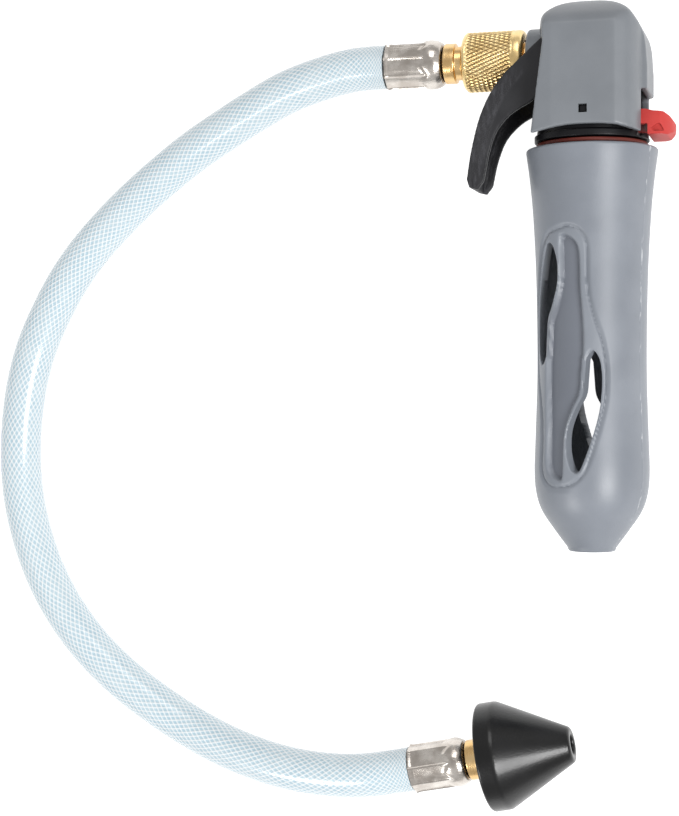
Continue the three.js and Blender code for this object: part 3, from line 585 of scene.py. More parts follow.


# %% [markdown]
# ## The hose
#
# The hose is clear vinyl over a white polyester braid. It leaves the gun level, comes down to
# the table, lies in one wide bend and lifts to the cone. Its route is a list of given points. The
# tube is a grid rolled up along that route, so that its UV map has one axis round the
# hose and one along it, and the braid can be drawn as two sets of spirals on that map.

# %% Route of the hose, in metres
HOSE_DIAMETER = 0.0124
HOSE_ROUTE = [
    (-0.0582, 0, 0.018), (-0.0623, 0, 0.018), (-0.0691, -0.0004, 0.01771), (-0.0779, -0.0021, 0.01682),
    (-0.0886, -0.0051, 0.01525), (-0.0988, -0.0095, 0.01338), (-0.1088, -0.0144, 0.01141),
    (-0.1188, -0.0197, 0.00954), (-0.1281, -0.0256, 0.00797), (-0.1373, -0.0323, 0.00689),
    (-0.1459, -0.0396, 0.0063), (-0.154, -0.0478, 0.0063), (-0.1613, -0.057, 0.0063),
    (-0.1674, -0.0672, 0.0063), (-0.1725, -0.0781, 0.0063), (-0.1758, -0.0897, 0.0063),
    (-0.1775, -0.1018, 0.0063), (-0.1778, -0.1141, 0.0063), (-0.1764, -0.1264, 0.0063),
    (-0.1732, -0.1384, 0.0063), (-0.1683, -0.1499, 0.0063), (-0.1617, -0.1605, 0.0063),
    (-0.1536, -0.17, 0.0063), (-0.1443, -0.1782, 0.0063), (-0.134, -0.1853, 0.0064),
    (-0.1233, -0.1913, 0.007), (-0.1121, -0.1962, 0.0084), (-0.1003, -0.1998, 0.0102),
    (-0.0884, -0.202, 0.012), (-0.0763, -0.2027, 0.0136), (-0.0656, -0.202, 0.0148),
    (-0.0566, -0.2004, 0.0151), (-0.0515, -0.19934, 0.0151),
]
HOSE_STEPS = 320
HOSE_SIDES = 40
route = smooth_curve(HOSE_ROUTE, HOSE_STEPS)
lengths = np.linalg.norm(np.diff(np.array(route), axis=0), axis=1)
HOSE_LENGTH = float(lengths.sum())
print("hose length", round(HOSE_LENGTH, 4), "m")


# %% Braided vinyl
def braid_finish():
    """Pale clear vinyl with white threads crossing inside it."""
    finish = Finish("braided_vinyl", ior=1.45, coat_weight=0.6, coat_roughness=0.1)
    across = finish.add("ShaderNodeUVMap", {}, uv_map="along_hose")
    round_share, along_share, _ = finish.parts(across)
    THREADS = 26
    LAY = 0.058
    along = along_share * HOSE_LENGTH
    threads = []
    for way in (1, -1):
        phase = (round_share * THREADS + along * (way * THREADS / LAY)) * tau
        threads.append(phase.wave().step(0.45, 0.95))
    crossing = threads[0].maths("MAXIMUM", threads[1])
    knots = threads[0] * threads[1]
    haze = finish.noise(160, 4).step(0.3, 0.75)
    clear = finish.mix(haze, seen(196, 224, 238), seen(212, 234, 244))
    thread = finish.mix(knots, seen(236, 246, 251), seen(254, 255, 255))
    finish.set(base_color=finish.mix(crossing, clear, thread))
    finish.set(roughness=crossing * 0.12 + haze * 0.06 + 0.2)
    finish.set(alpha=crossing * 0.08 + 0.9)
    finish.bump(crossing + knots * 0.5, 0.00016, 0.7)
    return finish


braided_vinyl = braid_finish()


# %% The tube
def hose_piece():
    """A grid rolled round the route, with its two ends closed."""
    centres = [Vector(point) for point in route]
    headings = [
        (centres[min(i + 1, HOSE_STEPS)] - centres[max(i - 1, 0)]).normalized()
        for i in range(HOSE_STEPS + 1)
    ]
    side = Vector((0, 0, 1))
    frames = []
    for heading in headings:
        side = (side - heading * side.dot(heading)).normalized()
        frames.append((side.copy(), heading.cross(side)))
    bm = bmesh.new()
    bm.loops.layers.uv.new("along_hose")
    bmesh.ops.create_grid(bm, x_segments=HOSE_SIDES, y_segments=HOSE_STEPS, size=1, calc_uvs=True)
    radius = HOSE_DIAMETER / 2
    for vert in bm.verts:
        turn = (vert.co.x + 1) * pi
        step = round((vert.co.y + 1) / 2 * HOSE_STEPS)
        up, out = frames[step]
        vert.co = (centres[step] + (up * cos(turn) + out * sin(turn)) * radius) / MM
    bmesh.ops.remove_doubles(bm, verts=bm.verts, dist=1e-4)
    rims = [edge for edge in bm.edges if edge.is_boundary]
    bmesh.ops.holes_fill(bm, edges=rims, sides=HOSE_SIDES)
    bmesh.ops.recalc_face_normals(bm, faces=bm.faces)
    return show("braided_hose", bm, braided_vinyl, "gun", "hose", weighted=False)


hose = hose_piece()

# %% [markdown]
# ## The grip
#
# The grip is a turned shell with a flared rim and a round end. On each side it carries a leaf
# shaped panel: a low bead runs round it, the middle is sunk, and two windows show the cartridge
# chamber. A fine lathe grid is pushed in by a height worked out from the distance to each
# outline, then the windows are cut straight through.


# %% Outline of the grip
def down(share):
    """The height that lies a share of the grip's length below its rim."""
    return RIM_Y - share * GRIP_LENGTH


WAIST = 14.9
BULGE = 15.7
END_RADIUS = 6.2
BORE = 12.35
FLOOR = 5.0
side_curve = smooth_curve(
    [
        (RIM_RADIUS, down(0.008)),
        (RIM_RADIUS - 1, down(0.075)),
        (WAIST + 1.1, down(0.175)),
        (WAIST + 0.3, down(0.33)),
        (WAIST, down(0.54)),
        (BULGE - 0.3, down(0.71)),
        (BULGE, down(0.8)),
        (BULGE - 0.5, down(0.855)),
        (BULGE - 2.1, down(0.9)),
        (END_RADIUS + 3.9, down(0.948)),
        (END_RADIUS + 0.5, down(0.99)),
    ],
    260,
)

# %% The leaf pattern, in shares of its half length, round its own centre
PATTERN_HALF = 35.0
PATTERN_MIDDLE = down(0.52)
LEAF = [
    (0.03, 1), (0.117, 0.986), (0.174, 0.934), (0.2, 0.86), (0.205, 0.746), (0.207, 0.583),
    (0.223, 0.437), (0.269, 0.271), (0.317, 0.143), (0.349, -0.006), (0.36, -0.151), (0.351, -0.314),
    (0.32, -0.45), (0.275, -0.61), (0.232, -0.755), (0.18, -0.885), (0.094, -0.968),
]
PANEL = [
    (0.03, 0.94), (0.1, 0.9), (0.137, 0.83), (0.146, 0.7), (0.149, 0.534), (0.166, 0.34),
    (0.175, 0.18), (0.175, 0.05), (0.172, -0.12), (0.168, -0.25), (0.13, -0.34), (0.07, -0.44),
    (0.025, -0.57), (0.012, -0.71), (0.012, -0.85), (0.0, -0.935),
]
WINDOW = [
    (0.19, -0.02), (0.243, 0.05), (0.29, 0), (0.312, -0.1), (0.315, -0.25), (0.295, -0.43),
    (0.24, -0.64), (0.172, -0.835), (0.135, -0.885), (0.085, -0.86), (0.046, -0.73), (0.05, -0.57),
    (0.105, -0.41), (0.165, -0.29), (0.18, -0.16),
]


def half_turned(points):
    return [(-across, -along) for across, along in points]


def in_millimetres(points):
    return [(across * PATTERN_HALF, along * PATTERN_HALF) for across, along in points]


leaf_loop = closed_curve(in_millimetres(LEAF + half_turned(LEAF)), 5)
panel_loop = closed_curve(in_millimetres(PANEL + half_turned(PANEL)), 5)
window_loops = [closed_curve(in_millimetres(shape), 7) for shape in (WINDOW, half_turned(WINDOW))]


def depth_inside(points, loop):
    """Distance of each point from a loop, positive inside it."""
    corners = np.array(loop)
    following = np.roll(corners, -1, axis=0)
    nearest = np.full(len(points), 1e9)
    inside = np.zeros(len(points), bool)
    for a, b in zip(corners, following):
        along = b - a
        share = np.clip(((points - a) @ along) / max(along @ along, 1e-12), 0, 1)
        nearest = np.minimum(nearest, np.linalg.norm(points - a - share[:, None] * along, axis=1))
        rising = (a[1] > points[:, 1]) != (b[1] > points[:, 1])
        crossing = a[0] + (points[:, 1] - a[1]) / (along[1] if abs(along[1]) > 1e-12 else 1e-12) * along[0]
        inside ^= rising & (points[:, 0] < crossing)
    return np.where(inside, nearest, -nearest)


def ramp(values, low, high):
    t = np.clip((values - low) / (high - low), 0, 1)
    return t * t * (3 - 2 * t)


def sunk(points):
    """How far the skin is pushed in at places (across, along) on one side's pattern."""
    leaf = depth_inside(points, leaf_loop)
    panel = depth_inside(points, panel_loop)
    window = np.maximum(*[depth_inside(points, loop) for loop in window_loops])
    dip = 0.7 * ramp(leaf, -1.1, 0.05)
    bead = 0.5 * ramp(leaf, 0.0, 0.4) * (1 - ramp(panel, -0.55, 0.05))
    floor = 1.15 * ramp(panel, -0.1, 0.4) * (1 - ramp(window, -1.4, -0.9))
    edge = 0.5 * ramp(window, -0.55, 0.1) ** 2
    return dip - bead + floor + edge


def panel_shade_mask(places):
    """1 in the sunk panels and 0 elsewhere, for places round the grip's axis: where the grip's material paints shade.
    """
    angle = np.degrees(np.arctan2(places[:, 0], places[:, 2]))
    made = np.zeros(len(places))
    for side in (0, 180):
        off = (angle - PATTERN_TURN - side + 180) % 360 - 180
        points = np.stack([np.radians(off) * WAIST, places[:, 1] - PATTERN_MIDDLE], axis=1)
        near = (np.abs(points[:, 0]) < 16) & (np.abs(points[:, 1]) < PATTERN_HALF + 4)
        made[near] = ramp(depth_inside(points[near], panel_loop), 0.0, 0.5)
    return made * (np.hypot(places[:, 0], places[:, 2]) > BORE + 0.3)


# %% The grip's skin
GRIP_STEPS = 264


def grip_bmesh():
    radii = np.array([radius for radius, _ in side_curve])
    heights = np.array([height for _, height in side_curve])
    rows = [down(0.008), down(0.03), down(0.055), *np.linspace(down(0.08), down(0.175), 14)]
    rows += list(np.linspace(down(0.18), down(0.84), 184))
    rows += list(np.linspace(down(0.85), down(0.99), 34))
    skin = [(float(np.interp(-y, -heights, radii)), y) for y in rows]
    floor = END_Y + FLOOR
    inner = [(0, floor), (BORE * 0.45, floor + 0.8), (BORE * 0.8, floor + 4.5), (BORE, floor + 11)]
    inner = smooth_curve(inner, 12)
    inner += [(BORE, floor + 30), (BORE, floor + 55), (BORE, floor + 80), (BORE, RIM_Y - 0.5)]
    rim = [
        (BORE + 0.5, RIM_Y), (RIM_RADIUS - 0.75, RIM_Y),
        (RIM_RADIUS - 0.3, down(0.0015)), (RIM_RADIUS - 0.06, down(0.0042)),
    ]
    foot = [(END_RADIUS + 0.3, END_Y + 0.5), (END_RADIUS + 0.05, END_Y + 0.12), (END_RADIUS - 0.3, END_Y), (0, END_Y)]
    bm = spun([*inner, *rim, *skin, *foot], GRIP_STEPS, closed=False)
    outer = [v for v in bm.verts if sqrt(v.co.x**2 + v.co.z**2) > BORE + 1.0]
    places = np.array([v.co for v in outer])
    angle = np.degrees(np.arctan2(places[:, 0], places[:, 2]))
    radius = np.hypot(places[:, 0], places[:, 2])
    push = np.zeros(len(outer))
    for side in (0, 180):
        off = (angle - PATTERN_TURN - side + 180) % 360 - 180
        points = np.stack([np.radians(off) * WAIST, places[:, 1] - PATTERN_MIDDLE], axis=1)
        near = (np.abs(points[:, 0]) < 16) & (np.abs(points[:, 1]) < PATTERN_HALF + 4)
        push[near] += sunk(points[near])
        seam = (angle - PARTING_LINE - side + 180) % 360 - 180
        push -= 0.07 * np.exp(-((seam / 0.9) ** 2)) * (radius > 8)
    for vert, depth, wide in zip(outer, push, radius):
        vert.co.x *= (wide - depth) / wide
        vert.co.z *= (wide - depth) / wide
    return bm


def window_cutter(loop, side):
    flat = [(WAIST * sin(across / WAIST), PATTERN_MIDDLE + along) for across, along in loop]
    turn = Matrix.Rotation(radians(PATTERN_TURN + side), 4, "Y") @ Matrix.Translation((0, 0, 11))
    return prism(flat, 9, turn)


cutters = [("DIFFERENCE", window_cutter(loop, side)) for side in (0, 180) for loop in window_loops]
grip = carved(grip_bmesh(), *cutters)
grip = show("grip", placed(grip, at=(0, 0, AXIS)), grip_plastic, "handle", "handle", sharp=50)
grip_places = np.array([vert.co for vert in grip.data.vertices]) / MM - (0, 0, AXIS)
# Stores the sunk panels' mask, through which the grip's material paints shade into them.
painted(grip, "sunk", panel_shade_mask(grip_places))

# %% [markdown]
# ## The head shroud
#
# The shroud is a thin moulding with flat sides, a crowned top and a raised strip up its back.
# Three outlines, drawn out along the three axes and trimmed by one another, give its body, and
# the same outlines drawn smaller give its hollow.

# %% Outlines of the head
head_low, head_high = span("head_shroud")
HEAD_WALL = 2.0
HEAD_TOP = head_high.y
HEAD_FRONT = 13.6
HEAD_BACK = head_high.x
HEAD_HALF = RIM_RADIUS
HEAD_CROWN = 25.0
HOOD_BOW = 2.7
SKIRT_BOTTOM = head_low.y
SKIRT_ARCH = 2.0
NOTCH_TOP = -11.0
NOTCH_HALF = 9.6
LATCH_Y = -17.0
LATCH_HALF = 1.15
EVERYWHERE = 60


def head_side(inset):
    """Side view of the head, shrunk by an inset for the hollow inside it."""
    dome = smooth_curve(
        [
            (-HEAD_FRONT + inset, HEAD_TOP - 10),
            (-HEAD_FRONT + 1.6 + inset * 0.9, HEAD_TOP - 6.4 - inset * 0.3),
            (-HEAD_FRONT + 3.8 + inset * 0.7, HEAD_TOP - 3.4 - inset * 0.7),
            (-HEAD_FRONT + 7.7 + inset * 0.3, HEAD_TOP - 0.9 - inset),
            (-0.4, HEAD_TOP - inset),
            (HEAD_BACK - 11, HEAD_TOP - 0.9 - inset),
            (HEAD_BACK - 6.2 - inset * 0.5, HEAD_TOP - 3.2 - inset * 0.9),
            (HEAD_BACK - 3.1 - inset * 0.75, HEAD_TOP - 6.5 - inset * 0.6),
            (HEAD_BACK - 0.8 - inset, HEAD_TOP - 11.5),
            (HEAD_BACK - inset, HEAD_TOP - 19.5),
        ],
        72,
    )
    if inset:
        foot = [(HEAD_BACK - inset, -EVERYWHERE), (-HEAD_FRONT - 0.8 + inset, -EVERYWHERE)]
    else:
        foot = smooth_curve(
            [
                (HEAD_BACK, SKIRT_BOTTOM),
                (HEAD_BACK / 2, SKIRT_BOTTOM + 0.78 * SKIRT_ARCH),
                (0, SKIRT_BOTTOM + SKIRT_ARCH),
                (-HEAD_FRONT / 2, SKIRT_BOTTOM + 0.78 * SKIRT_ARCH),
                (-HEAD_FRONT - 0.6, SKIRT_BOTTOM),
            ],
            24,
        )
    return [*dome, *foot, (-HEAD_FRONT + HOOD_BOW + inset, HEAD_TOP - 12.6)]


def head_plan(inset):
    """Plan of the head: flat sides, two soft rear corners, and a raised strip up the back."""
    half = HEAD_HALF - inset
    back = HEAD_BACK - inset
    front = -HEAD_FRONT - (31 if inset else 1)
    corner = smooth_curve(
        [(8.6, half), (back - 4.3, half - 1.9), (back - 2.4, half - 4.8), (back - 1.4, NOTCH_HALF)], 18
    )
    quarter = [(front, half - 1), (-HEAD_FRONT + 5, half), *corner, (back + 1.4, NOTCH_HALF - 2.4)]
    return quarter + [(x, -z) for x, z in reversed(quarter)]


def head_front(inset):
    """Front view of the head: flat sides under a crown."""
    half = HEAD_HALF - inset
    radius = HEAD_CROWN - inset
    spread = degrees(asin((half - 1.6) / radius))
    crown = arc((0, HEAD_TOP - HEAD_CROWN), radius, 90 - spread, 90 + spread, 40)
    shoulder = crown[0][1] - 3.9
    side = half + 1
    return [(side, -EVERYWHERE), (side, shoulder), *crown, (-side, shoulder), (-side, -EVERYWHERE)]


FROM_SIDE = Matrix.Identity(4)
FROM_ABOVE = Matrix.Rotation(pi / 2, 4, "X")
FROM_FRONT = Matrix.Rotation(pi / 2, 4, "Y")


def head_solid(inset):
    return carved(
        prism(head_side(inset), HEAD_HALF + 2, FROM_SIDE),
        ("INTERSECT", prism(head_plan(inset), EVERYWHERE, FROM_ABOVE)),
        ("INTERSECT", prism(head_front(inset), EVERYWHERE, FROM_FRONT)),
    )


def front_corners():
    """What the hood loses at its two front corners, above the skirt."""
    radius = (HEAD_HALF**2 + HOOD_BOW**2) / (2 * HOOD_BOW)
    spread = degrees(asin(HEAD_HALF / radius))
    bow = arc((-HEAD_FRONT + radius, 0), radius, 180 - spread, 180 + spread, 24)
    edge = bow[0][0]
    wide = HEAD_HALF + 1
    outline = [(-EVERYWHERE, wide), (edge, wide), *bow, (edge, -wide), (-EVERYWHERE, -wide)]
    return prism(outline, 30, FROM_ABOVE, (0, HEAD_TOP - 12.65 + 30, 0))


boss_low, boss_high = span("outlet_boss")
BOSS_RADIUS = boss_high.y
# A cutter's face never lies in a face of what it cuts: the result would change from run to run.
mouth_half = HEAD_HALF - HEAD_WALL - 0.05
notch_half = NOTCH_HALF + 0.03
far = EVERYWHERE
shroud = carved(
    head_solid(0),
    ("DIFFERENCE", front_corners()),
    ("DIFFERENCE", head_solid(HEAD_WALL)),
    ("DIFFERENCE", slab((-far, -HEAD_FRONT + 6), (-far + 5, HEAD_TOP - 9.6), (-mouth_half, mouth_half))),
    ("DIFFERENCE", bar(BOSS_RADIUS + 0.4, -far, -HEAD_FRONT + 8, ALONG_X)),
    ("DIFFERENCE", slab((HEAD_BACK - HEAD_WALL - 1.6, far), (-far + 7, NOTCH_TOP), (-notch_half, notch_half))),
)
shroud = relaxed(softened(shroud, 0.36, rounds=4), lambda places: ramp(places[:, 1], 5.5, 9.5), 60)
latches = slab((-LATCH_HALF, LATCH_HALF), (LATCH_Y - LATCH_HALF, LATCH_Y + LATCH_HALF), (-far, far))
shroud = carved(shroud, ("DIFFERENCE", latches))
show(
    "shroud", placed(shroud, at=(0, 0, AXIS)), head_plastic, "gun", "head_shroud",
    sharp=60, weighted=False,
)

# %% [markdown]
# ## The trigger
#
# The trigger is a hooked lever with a hollow underside. Above, it opens into a fork that
# straddles the nut and reaches over the valve. Its outer band is pebbled for the finger.

# %% Trigger
trigger_low, trigger_high = span("trigger")
nut_low, nut_high = span("coupling_nut")
PIVOT = (8.0, 5.0)
HUB = 3.2
ARM_TOP = trigger_high.y
TRIGGER_HALF = (trigger_high.z - trigger_low.z) / 2
TRIGGER_WALL = 1.6
TIP_HALF = 6.8
SHELL = 2.2
NUT_RADIUS = nut_high.y

trigger_outer = smooth_curve(
    [(-12.4, 4.2), (-17.9, -0.8), (-24.3, -7.1), (-29.3, -15.9), (-32.4, -26), (-33.7, -33.5)], 48
)
trigger_inner = smooth_curve([(-28.9, -34.2), (-27.2, -26.4), (-25, -20.8), (-20.9, -16.4), (-15.4, -13.3)], 36)
trigger_side = [
    (-7.4, 8.2), (-10.3, 5.2), *trigger_outer, (-33, -35.8), (-30.6, -36.4), *trigger_inner,
    (-4, -5.5), (2.5, 2), *arc(PIVOT, HUB, -90, 60, 24), (4, ARM_TOP), (-5, ARM_TOP),
]
under_finger = [
    (-33.6 + SHELL, -34.5), (-32 + SHELL, -26), (-28.9 + SHELL, -16.6), (-25.8 + SHELL, -11.4),
    (-24.9 + SHELL, -NUT_RADIUS - 1.5),
]


def trigger_front(edge, middle, tip):
    """Front view: wide enough above to straddle the nut, narrower at the finger."""
    half = [(edge, far), (edge, -12), (middle, -29), (tip, -far)]
    return half + [(-z, y) for z, y in reversed(half)]


ARM_BOTTOM = ARM_TOP - 2.2
hollow_side = [
    *under_finger, (-far, -NUT_RADIUS - 1.5), (-far, 40), (-7.3, 40), (-7.3, ARM_BOTTOM), (30, ARM_BOTTOM),
    (30, -far), (-33.6 + SHELL, -far),
]
inner_width = (TRIGGER_HALF - TRIGGER_WALL, TIP_HALF + 0.5 - TRIGGER_WALL, TIP_HALF - 0.8 - TRIGGER_WALL)
hollow = carved(prism(hollow_side, 40), ("INTERSECT", prism(trigger_front(*inner_width), far, FROM_FRONT)))
lever = carved(
    prism(trigger_side, TRIGGER_HALF + 2, FROM_SIDE),
    ("INTERSECT", prism(trigger_front(TRIGGER_HALF, TIP_HALF + 0.5, TIP_HALF), far, FROM_FRONT)),
    ("DIFFERENCE", hollow),
    ("DIFFERENCE", bar(1.55, -40, 40, FROM_ABOVE, (*PIVOT, 0))),
)
lever = softened(lever, 0.3, rounds=6)
lever = placed(lever, at=(0, 0, AXIS))
trigger = show(
    "trigger_lever", lever, trigger_plastic, "trigger", "trigger",
    sharp=60, weighted=False,
)

# %% The finger band, painted by its distance from the outer edge
BAND_WIDTH = 4.2
edge_points = np.array(trigger_outer)
places = np.array([v.co for v in trigger.data.vertices]) / MM
distance = np.min(np.linalg.norm(places[:, None, :2] - edge_points[None], axis=2), axis=1)
band = (1 - ramp(distance, BAND_WIDTH - 0.5, BAND_WIDTH + 0.3)) * ramp(-places[:, 1], 2, 9)
painted(trigger, "band", band)

# %% [markdown]
# ## The valve body, seal and what is inside
#
# Below the shroud a black flange shows over the rust-red seal ring. The flange, neck and column
# are one moulding, with two ears for the trigger's pin.

# %% Valve body
body_low, body_high = span("valve_body")
FLANGE = body_high.x
seal_high = span("neck_seal")[1]
FLANGE_BOTTOM = seal_high.y + GAP
FLANGE_TOP = FLANGE_BOTTOM + 3.3
NECK = 12.0
COLUMN = 6.2
COLUMN_TOP = 5.2
core = eased(
    [
        (0, body_low.y), (NECK - 0.6, body_low.y), (NECK, body_low.y + 0.6), (NECK, FLANGE_BOTTOM),
        (FLANGE, FLANGE_BOTTOM), (FLANGE, FLANGE_TOP - 1.4), (FLANGE - 0.7, FLANGE_TOP - 1.4),
        (FLANGE - 0.7, FLANGE_TOP), (COLUMN, FLANGE_TOP), (COLUMN, COLUMN_TOP - 0.8),
        (COLUMN - 0.8, COLUMN_TOP), (0, COLUMN_TOP),
    ],
    0.35,
    closed=False,
)
CLIP_DROP = 2.5
EAR_INNER = 11.2
EAR_OUTER = 13.1
ear_outline = [(-6, FLANGE_TOP - 1), (PIVOT[0] + 2.0, FLANGE_TOP - 1), *arc(PIVOT, HUB - 0.4, 0, 140, 16), (-6, -8)]
tab = (LATCH_Y - LATCH_HALF + 0.35, LATCH_Y + LATCH_HALF - 0.35)
tab_x = (-LATCH_HALF + 0.35, LATCH_HALF - 0.35)
tools = []
for side in (1, -1):
    middle = side * (EAR_INNER + EAR_OUTER) / 2
    tools.append(("UNION", prism(ear_outline, (EAR_OUTER - EAR_INNER) / 2, FROM_SIDE, (0, 0, middle))))
    reach = sorted((side * (EAR_OUTER - 1), side * (HEAD_HALF - 0.9)))
    tools.append(("UNION", slab(tab_x, tab, reach)))
tools += [
    ("DIFFERENCE", bar(6.2, -far, -27)),
    ("DIFFERENCE", bar(4.9, -far, -23.0)),
    ("DIFFERENCE", bar(1.5, -far, 0)),
    ("DIFFERENCE", bar(3.3, -16, far)),
    ("DIFFERENCE", bar(3.9, -7, far)),
    ("DIFFERENCE", bar(4.0, -far, -4.7, ALONG_X)),
    ("DIFFERENCE", bar(1.55, -far, far, FROM_ABOVE, (*PIVOT, 0))),
    ("DIFFERENCE", slab((FLANGE - 3.5, far), (FLANGE_TOP - CLIP_DROP - GAP, far), (-8.4, 8.4))),
]
valve_body = carved(spun(core, 144, closed=False), *tools)
show("valve_body_moulding", placed(valve_body, at=(0, 0, AXIS)), black_plastic, "gun", "valve_body")


# %% Rings and other small turned pieces, each as wide and long as its CAD node
def ring(name, node, bore, finish, body, ease=0.25, along="y", steps=96):
    low, high = span(node)
    start, stop = (low.y, high.y) if along == "y" else (low.x, high.x)
    radius = (high.z - low.z) / 2
    profile = eased([(bore, start), (radius, start), (radius, stop), (bore, stop)], ease)
    turn = UP_Y if along == "y" else ALONG_X
    return show(name, placed(spun(profile, steps), turn, (0, 0, AXIS)), finish, body, node)


ring("seal_ring", "neck_seal", NECK + GAP, seal_rubber, "gun", 0.45, steps=144)
ring("lance_washer", "lance_seal", 1.9, ring_rubber, "gun")
ring("seat_ring", "valve_seat", 1.8, cream_plastic, "gun")
ring("stem_ring", "stem_seal", 1.6, ring_rubber, "gun", 0.35)
ring("gland_cap", "valve_cap", 1.6, turned_brass, "gun")
gasket = ring("gasket_ring", "nut_gasket", 2.6, ring_rubber, "gun", along="x")

# %% [markdown]
# ## The outlet
#
# A grey boss carries the brass nipple. The nut that screws on to it is knurled: two sets of
# fine spirals cross and leave rows of small diamonds. The knurl is modelled, because its crests
# break up the nut's outline and its glints.

# %% Boss and nipple
boss_profile = eased(
    [
        (4.0, boss_low.x), (BOSS_RADIUS, boss_low.x), (BOSS_RADIUS, -9.6), (5.1, -9.6), (5.1, -COLUMN + 3),
        (4.0, -COLUMN + 3),
    ],
    0.9,
    steps=6,
)
boss = carved(placed(spun(boss_profile, 120), ALONG_X), ("DIFFERENCE", bar(COLUMN + GAP, -40, 40, steps=96)))
show("boss", placed(boss, at=(0, 0, AXIS)), head_plastic, "gun", "outlet_boss")

nipple_low, nipple_high = span("outlet_nipple")
THREAD = nipple_high.y
shoulder = boss_low.x - GAP
nipple_profile = [(2.0, nipple_low.x), (THREAD - 0.5, nipple_low.x)]
turn_count = 10
for i in range(turn_count):
    start = nipple_low.x + 0.6 + i * (shoulder - nipple_low.x - 1.2) / turn_count
    nipple_profile += [(THREAD - 0.5, start), (THREAD, start + 0.45), (THREAD - 0.5, start + 0.9)]
nipple_profile += [
    (THREAD, shoulder - 0.3), (THREAD, shoulder), (3.7, shoulder), (3.7, nipple_high.x), (2.0, nipple_high.x)
]
show("nipple", placed(spun(nipple_profile, 96), ALONG_X, (0, 0, AXIS)), turned_brass, "gun", "outlet_nipple")

# %% Knurled nut
KNURL_COUNT = 45
KNURL_PITCH = 2.7
KNURL_DEPTH = 0.3
SMOOTH_BAND = 3.0


def knurl(places):
    """How deep the knurl's grooves are at places (across, up, along): 0 on a crest, 1 in a groove."""
    across, up, along = places.T
    share = np.arctan2(across, up) / tau * KNURL_COUNT
    start, stop = nut_low.x + 1.3, nut_high.x - SMOOTH_BAND
    grooves = [np.abs((share + way * along / KNURL_PITCH) % 1 - 0.5) * 2 for way in (1, -1)]
    fade = np.clip(np.minimum((along - start) / 0.8, (stop - along) / 0.4), 0, 1)
    return np.maximum(*grooves) ** 1.6 * fade * (np.hypot(across, up) > NUT_RADIUS - 0.5)


def nut_bmesh():
    crest = NUT_RADIUS
    inside = [
        (THREAD + GAP, nut_high.x), (THREAD + GAP, nut_low.x + 3.4), (4.2, nut_low.x + 3.4), (4.2, nut_low.x),
    ]
    rows = np.linspace(nut_low.x + 1.3, nut_high.x - SMOOTH_BAND, 110)
    outside = [
        *smooth_curve([(5.4, nut_low.x), (6.9, nut_low.x + 0.12), (7.9, nut_low.x + 0.7), (8.2, nut_low.x + 1.25)], 10),
        *[(crest, float(x)) for x in rows],
        *smooth_curve(
            [(crest - 0.12, nut_high.x - SMOOTH_BAND + 0.3), (crest - 0.02, nut_high.x - 2.2), (crest - 0.1, nut_high.x - 0.9),
             (crest - 0.6, nut_high.x - 0.2), (crest - 1.5, nut_high.x)], 14),
    ]
    bm = spun([*outside, *inside], KNURL_COUNT * 10)
    for vert in bm.verts:
        x, radius = vert.co.y, sqrt(vert.co.x**2 + vert.co.z**2)
        depth = KNURL_DEPTH * float(knurl(np.array([[vert.co.x, vert.co.z, x]]))[0])
        vert.co.x *= (radius - depth) / radius
        vert.co.z *= (radius - depth) / radius
    return bm


nut = show(
    "knurled_nut", placed(nut_bmesh(), ALONG_X, (0, 0, AXIS)), knurled_brass, "coupling_nut", "coupling_nut",
    sharp=60, weighted=False,
)
nut_places = np.array([vert.co for vert in nut.data.vertices]) / MM - (0, 0, AXIS)
# The groove depths go to the nut's material, which paints shade into the grooves.
painted(nut, "groove", knurl(nut_places[:, [1, 2, 0]]))

# %% [markdown]
# ## Hose fittings
#
# A press crimps each ferrule into eight flats. The metal between the flats stands up as sharp
# ridges, and past the dies the sleeve keeps its round shoulder. A radius that depends on the
# angle and the distance along the sleeve makes both.

# %% Ferrules and tails
ferrule_low, ferrule_high = span("gun_ferrule")
FERRULE_LENGTH = ferrule_high.x - ferrule_low.x
FERRULE_RADIUS = 6.4
cone_low, cone_high = span("rubber_cone")
CONE_TURN = radians(11.5)
CONE_HEIGHT = (cone_low.z + cone_high.z) / 2
mouth = Vector(HOSE_ROUTE[-1]) / MM
DRAIN_END = Matrix.Translation((mouth.x, mouth.y, CONE_HEIGHT)) @ Matrix.Rotation(CONE_TURN, 4, "Z")
GUN_END = Matrix.Translation((ferrule_low.x - GAP, 0, AXIS))
FLATS = 8


def ferrule_bmesh():
    """A sleeve from the hose's mouth, along X."""
    long = FERRULE_LENGTH + GAP
    rows = np.linspace(GAP, long - 1.9, 84)
    outside = [(FERRULE_RADIUS, float(x)) for x in rows]
    end = smooth_curve([(6.55, long - 1.7), (6.1, long - 0.8), (5.7, long - 0.35), (5.1, long - GAP)], 8)
    bm = spun([(5.75, GAP), *outside, *end, (4.9, long - GAP), (5.75, long - 3)], 240)
    for vert in bm.verts:
        x, radius = vert.co.y, sqrt(vert.co.x**2 + vert.co.z**2)
        if radius < FERRULE_RADIUS - 0.05 or x > rows[-1] + 0.01:
            continue
        angle = atan2(vert.co.x, vert.co.z) + radians(10)
        off = (angle * FLATS / tau) % 1 - 0.5
        flat = 6.12 / cos(off * tau / FLATS * 0.82)
        ridge = 0.34 * max(0.0, abs(off) * 2 - 0.86) / 0.14
        lobe = 0.5 * (1 - cos(tau * off))
        crimp_end = long - 6.2 + 1.5 * abs(off) * 2
        blend = ramp(x, crimp_end - 1.0, crimp_end + 1.2)
        bulge = 6.55 + 0.32 * sin(pi * min(1, max(0, (x - crimp_end) / (long - 1.6 - crimp_end))))
        lip = 0.18 * (1 - ramp(x, 0.5, 1.6))
        wanted = (flat + ridge - 0.04 * lobe + lip) * (1 - blend) + bulge * blend
        vert.co.x *= wanted / radius
        vert.co.z *= wanted / radius
    return placed(bm, ALONG_X)


